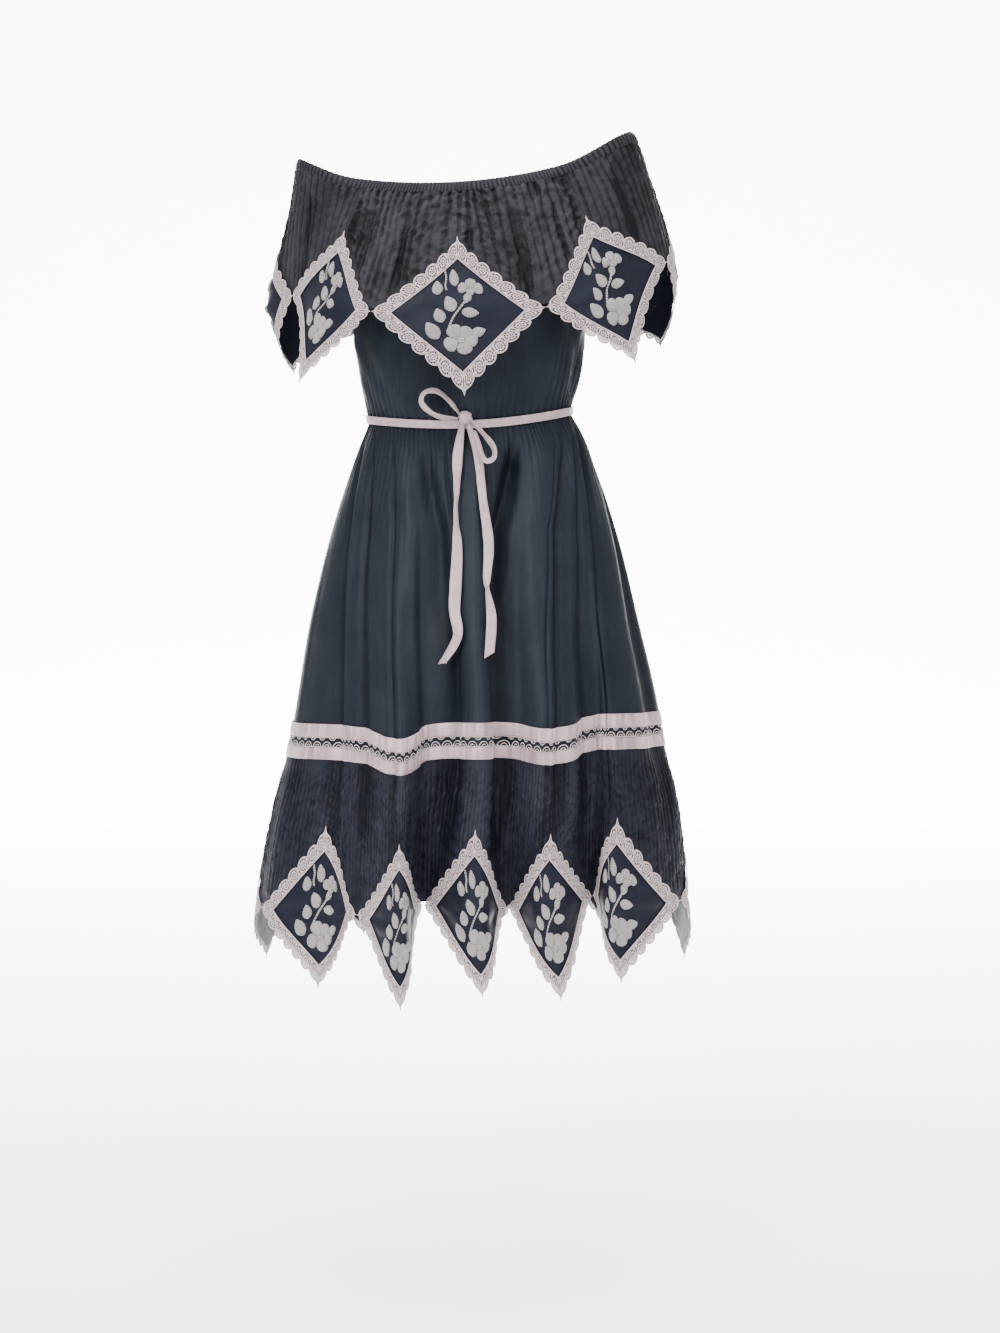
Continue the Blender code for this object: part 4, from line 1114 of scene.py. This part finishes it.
def make_bodice(label, first, material):
    """Front or back of the bodice, softly gathered into the waist and bloused over the ribbon."""
    rows, columns = BODICE_GRID
    share = np.linspace(first, first + 0.5, columns)
    arm = ease(0.115, 0.225, np.abs(share - (first + 0.25)))
    neck = moved_out(flounce_form, share, CASING_TALL - FLOUNCE_TUCK, -BODICE_INSIDE)
    top = neck[:, 2] * (1.0 - arm) + ARMPIT * arm
    foot = waist_height(share) - EDGE_CLEAR
    part = np.linspace(1.0, 0.0, rows)[:, None]
    height = foot + part * (top - foot)
    across = share * BODICE_ROUND
    rise = height - foot
    pitch, deep = BODICE_GATHER
    length = 0.040 + bumps(across, 0.0, BODICE_GATHER_LENGTH)
    gather = gathers(across / pitch + bumps(across, rise, BODICE_WANDER), 0.7, 0.6) * deep
    gather *= np.exp(-((np.maximum(rise, 0.0) / length) ** 1.2))
    soft = bumps(across, rise - BODICE_SOFT_SLOPE * across, BODICE_SOFT) * ease(0.0, 0.05, rise)
    slant = bumps(across + BODICE_SLANT_SLOPE * rise, rise, BODICE_SLANT) * ease(0.0, 0.03, rise)
    out = (gather + soft + slant) * (1.0 - ease(0.75, 1.0, part)) - 0.0004 * ease(0.0, 0.02, rise)
    out = out * seam_fade(share, SIDE_SEAM)
    points = moved_out(bodice_form, share, height, out)
    rim = np.broadcast_to(neck, points.shape).copy()
    rim[..., 2] = points[..., 2]
    points = points + (rim - points) * ((1.0 - arm) * ease(0.5, 1.0, part))[..., None]
    piece = add_sheet_grid(f"bodice_{label}_cloth", points, pairs(across, -height), material,
                           relief=out / FOLD_DEEP)
    gathered_cloth(piece, f"bodice_{label}")


def make_skirt(label, first, material):
    """Front or back of the upper skirt, gathered at the waist and falling in soft folds."""
    share = np.linspace(first, first + 0.5, SKIRT_COLUMNS)
    # rows lie closer over the small gathers
    gathered = np.linspace(WAIST + EDGE_CLEAR, -0.40, 44)
    height = np.concatenate([gathered, np.linspace(-0.404, BAND_FOOT, 60)])[:, None]
    out = skirt_ripple(share, height)
    piece = add_sheet_grid(f"skirt_{label}_cloth", moved_out(skirt_form, share, height, out),
                           pairs(share * 1.5, -height), material, relief=out / FOLD_DEEP)
    gathered_cloth(piece, f"skirt_{label}")


def make_tier(label, first, material):
    """Front or back of the crinkled tier, cut in points over the hem diamonds."""
    round_cut = 2 * DIAMOND_HALF * HEM_DIAMONDS
    share = np.linspace(first, first + 0.5, int(0.5 * round_cut / CRINKLE_STEP) + 1)
    foot = HEM_CORNER + pointed_edge(share, HEM_DIAMONDS, HEM_UP)
    top = BAND_FOOT + EDGE_CLEAR
    height = top + np.linspace(0.0, 1.0, TIER_ROWS)[:, None] * (foot - top)
    fall = top - height
    cut = share * round_cut
    flat = ease(0.002, FLAT_UNDER_LACE + 0.006, height - foot) * (0.35 + 0.65 * ease(0.0, 0.03, fall))
    out = crinkle(cut + 3.0, -height, TIER_PITCH, 0.8) * flat * seam_fade(share, SIDE_SEAM)
    out += skirt_ripple(share, np.full_like(height, BAND_FOOT)) * (1.0 - ease(0.0, 0.13, fall))
    points = moved_out(skirt_form, share, height, out)
    piece = add_sheet_grid(f"tier_{label}_cloth", points, pairs(cut, -height), material,
                           relief=(out + PLEAT_MIDDLE) / RELIEF_DEEP)
    gathered_cloth(piece, f"tier_{label}")


def make_band_ribbon(name, node_name, top, foot, seed, material):
    """Satin ribbon sewn flat round the skirt, a little puckered by its stitching."""
    columns = 960
    share = SIDE_SEAM - 1.0 + np.arange(columns) / columns
    part = np.linspace(0.0, 1.0, RIBBON_ROWS)[:, None]
    height = top + part * (foot - top)
    cut = share * BAND_ROUND
    pucker = bumps(cut, part, (*BAND_PUCKER, seed, seed)) + bumps(cut, part, (*BAND_SWELL, seed * 2.0, 0.0))
    pucker = pucker * seam_fade(share, SIDE_SEAM)
    belly = 0.0003 * np.sin(math.pi * part)
    out = skirt_ripple(share, height) + RIBBON_LIFT + pucker * 0.8 + belly
    along = np.append(cut, cut[0] + BAND_ROUND)
    piece = add_sheet_grid(name, moved_out(skirt_form, share, height, out), pairs(along, part * (top - foot)),
                           material, closed=True, relief=pucker / PUCKER_DEEP)
    laid_ribbon(piece, node_name)


def strand_on_skirt(centre, heights, wide):
    """A flat thread over the skirt through places given by cut length and height, with its cloth places."""
    run = np.gradient(centre)
    rise = np.gradient(heights)
    size = np.hypot(run, rise)
    rows = []
    for side, lift in ((1.0, 0.0009), (0.0, 0.0016), (-1.0, 0.0009)):
        share = SIDE_SEAM - 1.0 + (centre - side * rise / size * wide / 2) / BAND_ROUND
        height = heights + side * run / size * wide / 2
        rows.append(moved_out(skirt_form, share, height, skirt_ripple(share, height) + lift))
    return np.stack(rows), np.stack([pairs(centre, heights)] * 3)


def make_insertion(material):
    """Lace insertion between the ribbons: small scallops above, ribbed fans below, cloth showing between."""
    top, foot = INSERTION
    fans = round(BAND_ROUND / FAN_PITCH)
    pitch = BAND_ROUND / fans
    angle = np.linspace(0.0, math.pi, 13)
    strands = []
    for i in range(fans):
        middle = (i + 0.5) * pitch
        for radius, wide in FAN_ARCS:
            radius *= pitch
            heights = foot + 0.0002 + radius * 1.05 * np.sin(angle)
            strands.append((middle - radius * np.cos(angle), heights, wide))
        for radius, wide in SCALLOP_ARCS:
            radius *= pitch
            heights = top - radius * 0.95 * np.sin(angle)
            strands.append((middle - 0.5 * pitch - radius * np.cos(angle), heights, wide))
    length = np.linspace(0.0, BAND_ROUND, 700)
    for line in (top - 0.0003, foot + 0.0003):
        strands.append((length, np.full(700, line), 0.0009))
    piece = add_patches("band_insertion_lace", [strand_on_skirt(*strand) for strand in strands], material)
    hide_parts("band_insertion")


def skirt_front(across, height, reach=0.012):
    """Foremost depth of the skirt or bodice near a place."""
    share = np.linspace(-0.14, 0.14, 281)
    depths = []
    for level in (height - 0.01, height, height + 0.01):
        form = bodice_form if level > WAIST else skirt_form
        points = form(share, np.full(len(share), level))
        depths.append(points[np.abs(points[:, 0] - across) < reach, 1].min())
    return min(depths)


def hang(tail):
    """Stations of a tail lying just in front of the skirt."""
    stations = []
    for x, z, turn, width in tail:
        behind = 0.35 * width * abs(math.sin(math.radians(turn)))
        stations.append((x, skirt_front(x, z) - TAIL_CLEAR - behind, z, turn, width))
    return stations


def make_ribbon(name, node_name, stations, cut_end, material):
    """A free length of the waist ribbon along its stations, slightly curled across."""
    stations = np.array(stations, float)
    place = np.arange(len(stations))
    fine = np.linspace(0.0, len(stations) - 1.0, 10 * len(stations))
    row = np.stack([level_curve(place, stations[:, k], fine) for k in range(5)], axis=-1)
    path = row[:, :3]
    along = np.gradient(path, axis=0)
    along /= np.linalg.norm(along, axis=1, keepdims=True)
    front = np.array([0.0, -1.0, 0.0])
    outward = front - along * (along @ front)[:, None]
    outward /= np.linalg.norm(outward, axis=1, keepdims=True)
    turn = np.radians(row[:, 3])[:, None]
    wide = np.cross(along, outward) * np.cos(turn) + outward * np.sin(turn)
    face = np.cross(wide, along)
    half = row[:, 4][:, None] / 2
    length = np.concatenate(([0.0], np.cumsum(np.linalg.norm(np.diff(path, axis=0), axis=1))))
    across = np.linspace(1.0, -1.0, RIBBON_ROWS)
    rows = []
    for q in across:
        curl = 0.0007 * (q * q - 0.5) + 0.0004 * np.sin(length * 210.0 + q * 2.0)
        slant = along * (0.004 * q * cut_end) * (fine == fine[-1])[:, None]
        rows.append(path + wide * half * q - face * curl[:, None] + slant)
    piece = add_sheet_grid(name, np.stack(rows), pairs(length, across[:, None] * BELT_TALL / 2), material)
    laid_ribbon(piece, node_name)


def make_belt(material):
    """Waist ribbon drawn round the gathers."""
    columns = 720
    share = SIDE_SEAM - 1.0 + np.arange(columns) / columns
    q = np.linspace(1.0, -1.0, RIBBON_ROWS)[:, None]
    lift = BELT_LIFT + RIBBON_THICK
    upper = moved_out(bodice_form, share, waist_height(share) + BELT_TALL / 2, lift)
    lower = moved_out(skirt_form, share, WAIST - BELT_TALL / 2, lift)
    points = upper + ((1.0 - q) / 2)[..., None] * (lower - upper)
    outward = np.stack([points[..., 0], points[..., 1] * 1.6], axis=-1)
    outward /= np.linalg.norm(outward, axis=-1, keepdims=True)
    cut = share * WAIST_ROUND
    pucker = (bumps(cut, q, BELT_PUCKER) + bumps(cut, q, BELT_CRUMPLE)) * (1.0 - 0.3 * q * q)
    points[..., :2] += outward * pucker[..., None]
    places = pairs(np.append(cut, cut[0] + WAIST_ROUND), q * BELT_TALL / 2)
    piece = add_sheet_grid("waist_ribbon_cloth", points, places, material, closed=True)
    laid_ribbon(piece, "waist_ribbon")


def make_knot(material):
    """Knot of the bow: the ribbon wrapped once over itself, creased across."""
    turns, rings = 33, 17
    angle = np.linspace(0.0, 2.0 * math.pi, turns)[:-1]
    polar = np.linspace(0.03, math.pi - 0.03, rings)[:, None]
    crease = 1.0 + 0.10 * np.sin(polar * 7.0 + 1.5 * np.sin(angle)) + 0.05 * np.sin(angle * 3.0 + polar * 2.0)
    girth = np.sin(polar) ** 0.8 * crease
    shape = np.broadcast_arrays(girth * np.sin(angle), -girth * np.cos(angle), np.cos(polar))
    points = np.stack(shape, axis=-1) * np.array(KNOT_SIZE) + np.array(KNOT_PLACE)
    places = pairs(np.linspace(0.0, 0.045, turns), polar * 0.004)
    piece = add_sheet_grid("bow_knot_ribbon", points, places, material, closed=True)
    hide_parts("bow_knot")


def make_surround():
    """Plain pale floor that runs into a white backdrop, glowing more and more towards the back as painted
    light.
    """
    wide = SURROUND_WIDE
    away = BACKDROP_AWAY
    mesh = bpy.data.meshes.new("studio_floor_and_backdrop")
    mesh.from_pydata([(-wide, -wide, FLOOR), (wide, -wide, FLOOR), (wide, away, FLOOR), (-wide, away, FLOOR),
                      (wide, away, wide), (-wide, away, wide)], [], [(0, 1, 2, 3), (3, 2, 4, 5)])
    material, tree = fresh_material("matt_white_surround")
    place = tree.nodes.new("ShaderNodeTexCoord").outputs["Object"]
    depth = node(tree, "ShaderNodeSeparateXYZ", [(0, place)], 1)
    glow = node(tree, "ShaderNodeMapRange", [("Value", depth)], interpolation_type="SMOOTHSTEP",
                at_1=-1.5, at_2=BACKDROP_AWAY, at_3=FLOOR_GLOW, at_4=BACKDROP_GLOW)
    set_surface(tree, Base_Color=linear("#F4F4F4"), Roughness=0.9, Specular_IOR_Level=0.0,
                Emission_Strength=glow, Emission_Color=linear("#FFFFFF"))
    mesh.materials.append(material)
    surround = bpy.data.objects.new("studio_floor_and_backdrop", mesh)
    bpy.context.scene.collection.objects.link(surround)


def make_light(name, place, size, power):
    """A large soft lamp that faces the dress."""
    lamp = bpy.data.lights.new(name, "AREA")
    lamp.shape = "RECTANGLE"
    lamp.size, lamp.size_y = size
    lamp.energy = power
    piece = bpy.data.objects.new(name, lamp)
    piece.location = place
    piece.rotation_euler = (Vector(LAMPS_AIM) - Vector(place)).to_track_quat("-Z", "Y").to_euler()
    bpy.context.scene.collection.objects.link(piece)


def make_studio():
    """Camera, soft lights and a white surround."""
    make_surround()
    for lamp in LAMPS:
        make_light(*lamp)
    world = bpy.data.worlds.new("white_studio")
    world.use_nodes = True
    world.node_tree.nodes["Background"].inputs[0].default_value = (1.0, 1.0, 1.0, 1.0)
    world.node_tree.nodes["Background"].inputs[1].default_value = WORLD_GLOW
    bpy.context.scene.world = world
    lens = bpy.data.cameras.new("camera")
    lens.sensor_width = 36.0
    lens.lens = FOCAL_PIXELS / IMAGE_TALL * lens.sensor_width
    camera = bpy.data.objects.new("camera", lens)
    camera.location = (CAMERA_ACROSS, -CAMERA_AWAY, CAMERA_HEIGHT)
    camera.rotation_euler = (math.pi / 2 - math.atan(CAMERA_DROP / FOCAL_PIXELS), 0.0, 0.0)
    bpy.context.scene.collection.objects.link(camera)
    bpy.context.scene.camera = camera


def dress():
    """Every piece of the dress with its own cloth."""
    plain = taffeta("plain_taffeta", "#090C11", "#20262E", 0.46, 0.25, 0.060, 0.30)
    crinkled = taffeta("crinkled_taffeta", "#020204", "#2D2C31", 0.42, 0.20, 0.012, 0.80, 0.32)
    pleated = taffeta("pleated_taffeta", "#030408", "#23252E", 0.42, 0.20, 0.012, 0.75, 0.28)
    panel = taffeta("panel_taffeta", "#0B0C13", "#1F212D", 0.42, 0.15, 0.030, 0.40)
    lace = rosette_lace()
    floss = embroidery_floss()
    ribbon = satin_ribbon()
    make_casing(crinkled)
    sixth = 1.0 / FLOUNCE_DIAMONDS
    make_flounce("front", -sixth, sixth, FRONT_PITCH, 1.0, crinkled)
    make_flounce("right", sixth, 2 * sixth, SHOULDER_PITCH, 0.5, crinkled)
    make_flounce("back", 2 * sixth, 4 * sixth, FRONT_PITCH, 1.0, crinkled)
    make_flounce("left", 4 * sixth, 5 * sixth, SHOULDER_PITCH, 0.5, crinkled)
    for label, first in (("front", -0.25), ("back", 0.25)):
        make_bodice(label, first, plain)
        make_skirt(label, first, plain)
        make_tier(label, first, pleated)
    make_band_ribbon("upper_band_ribbon", "band_ribbon_upper", *UPPER_RIBBON, 2.0, ribbon)
    make_band_ribbon("lower_band_ribbon", "band_ribbon_lower", *LOWER_RIBBON, 31.0, ribbon)
    make_insertion(insertion_thread())
    make_belt(ribbon)
    make_knot(ribbon)
    for side, loop in (("left", LEFT_LOOP), ("right", RIGHT_LOOP)):
        make_ribbon(f"{side}_loop_ribbon", f"bow_loop_{side}", loop, 0.0, ribbon)
    for side, tail in (("left", LEFT_TAIL), ("right", RIGHT_TAIL)):
        make_ribbon(f"{side}_tail_ribbon", f"bow_tail_{side}", hang(tail), 1.0, ribbon)
    for edge in (FLOUNCE_EDGE, HEM_EDGE):
        for number in range(edge.count):
            make_panel(edge, number, panel)
            make_lace(edge, number, lace)
            make_sprig(edge, number, floss)


dress()
make_studio()
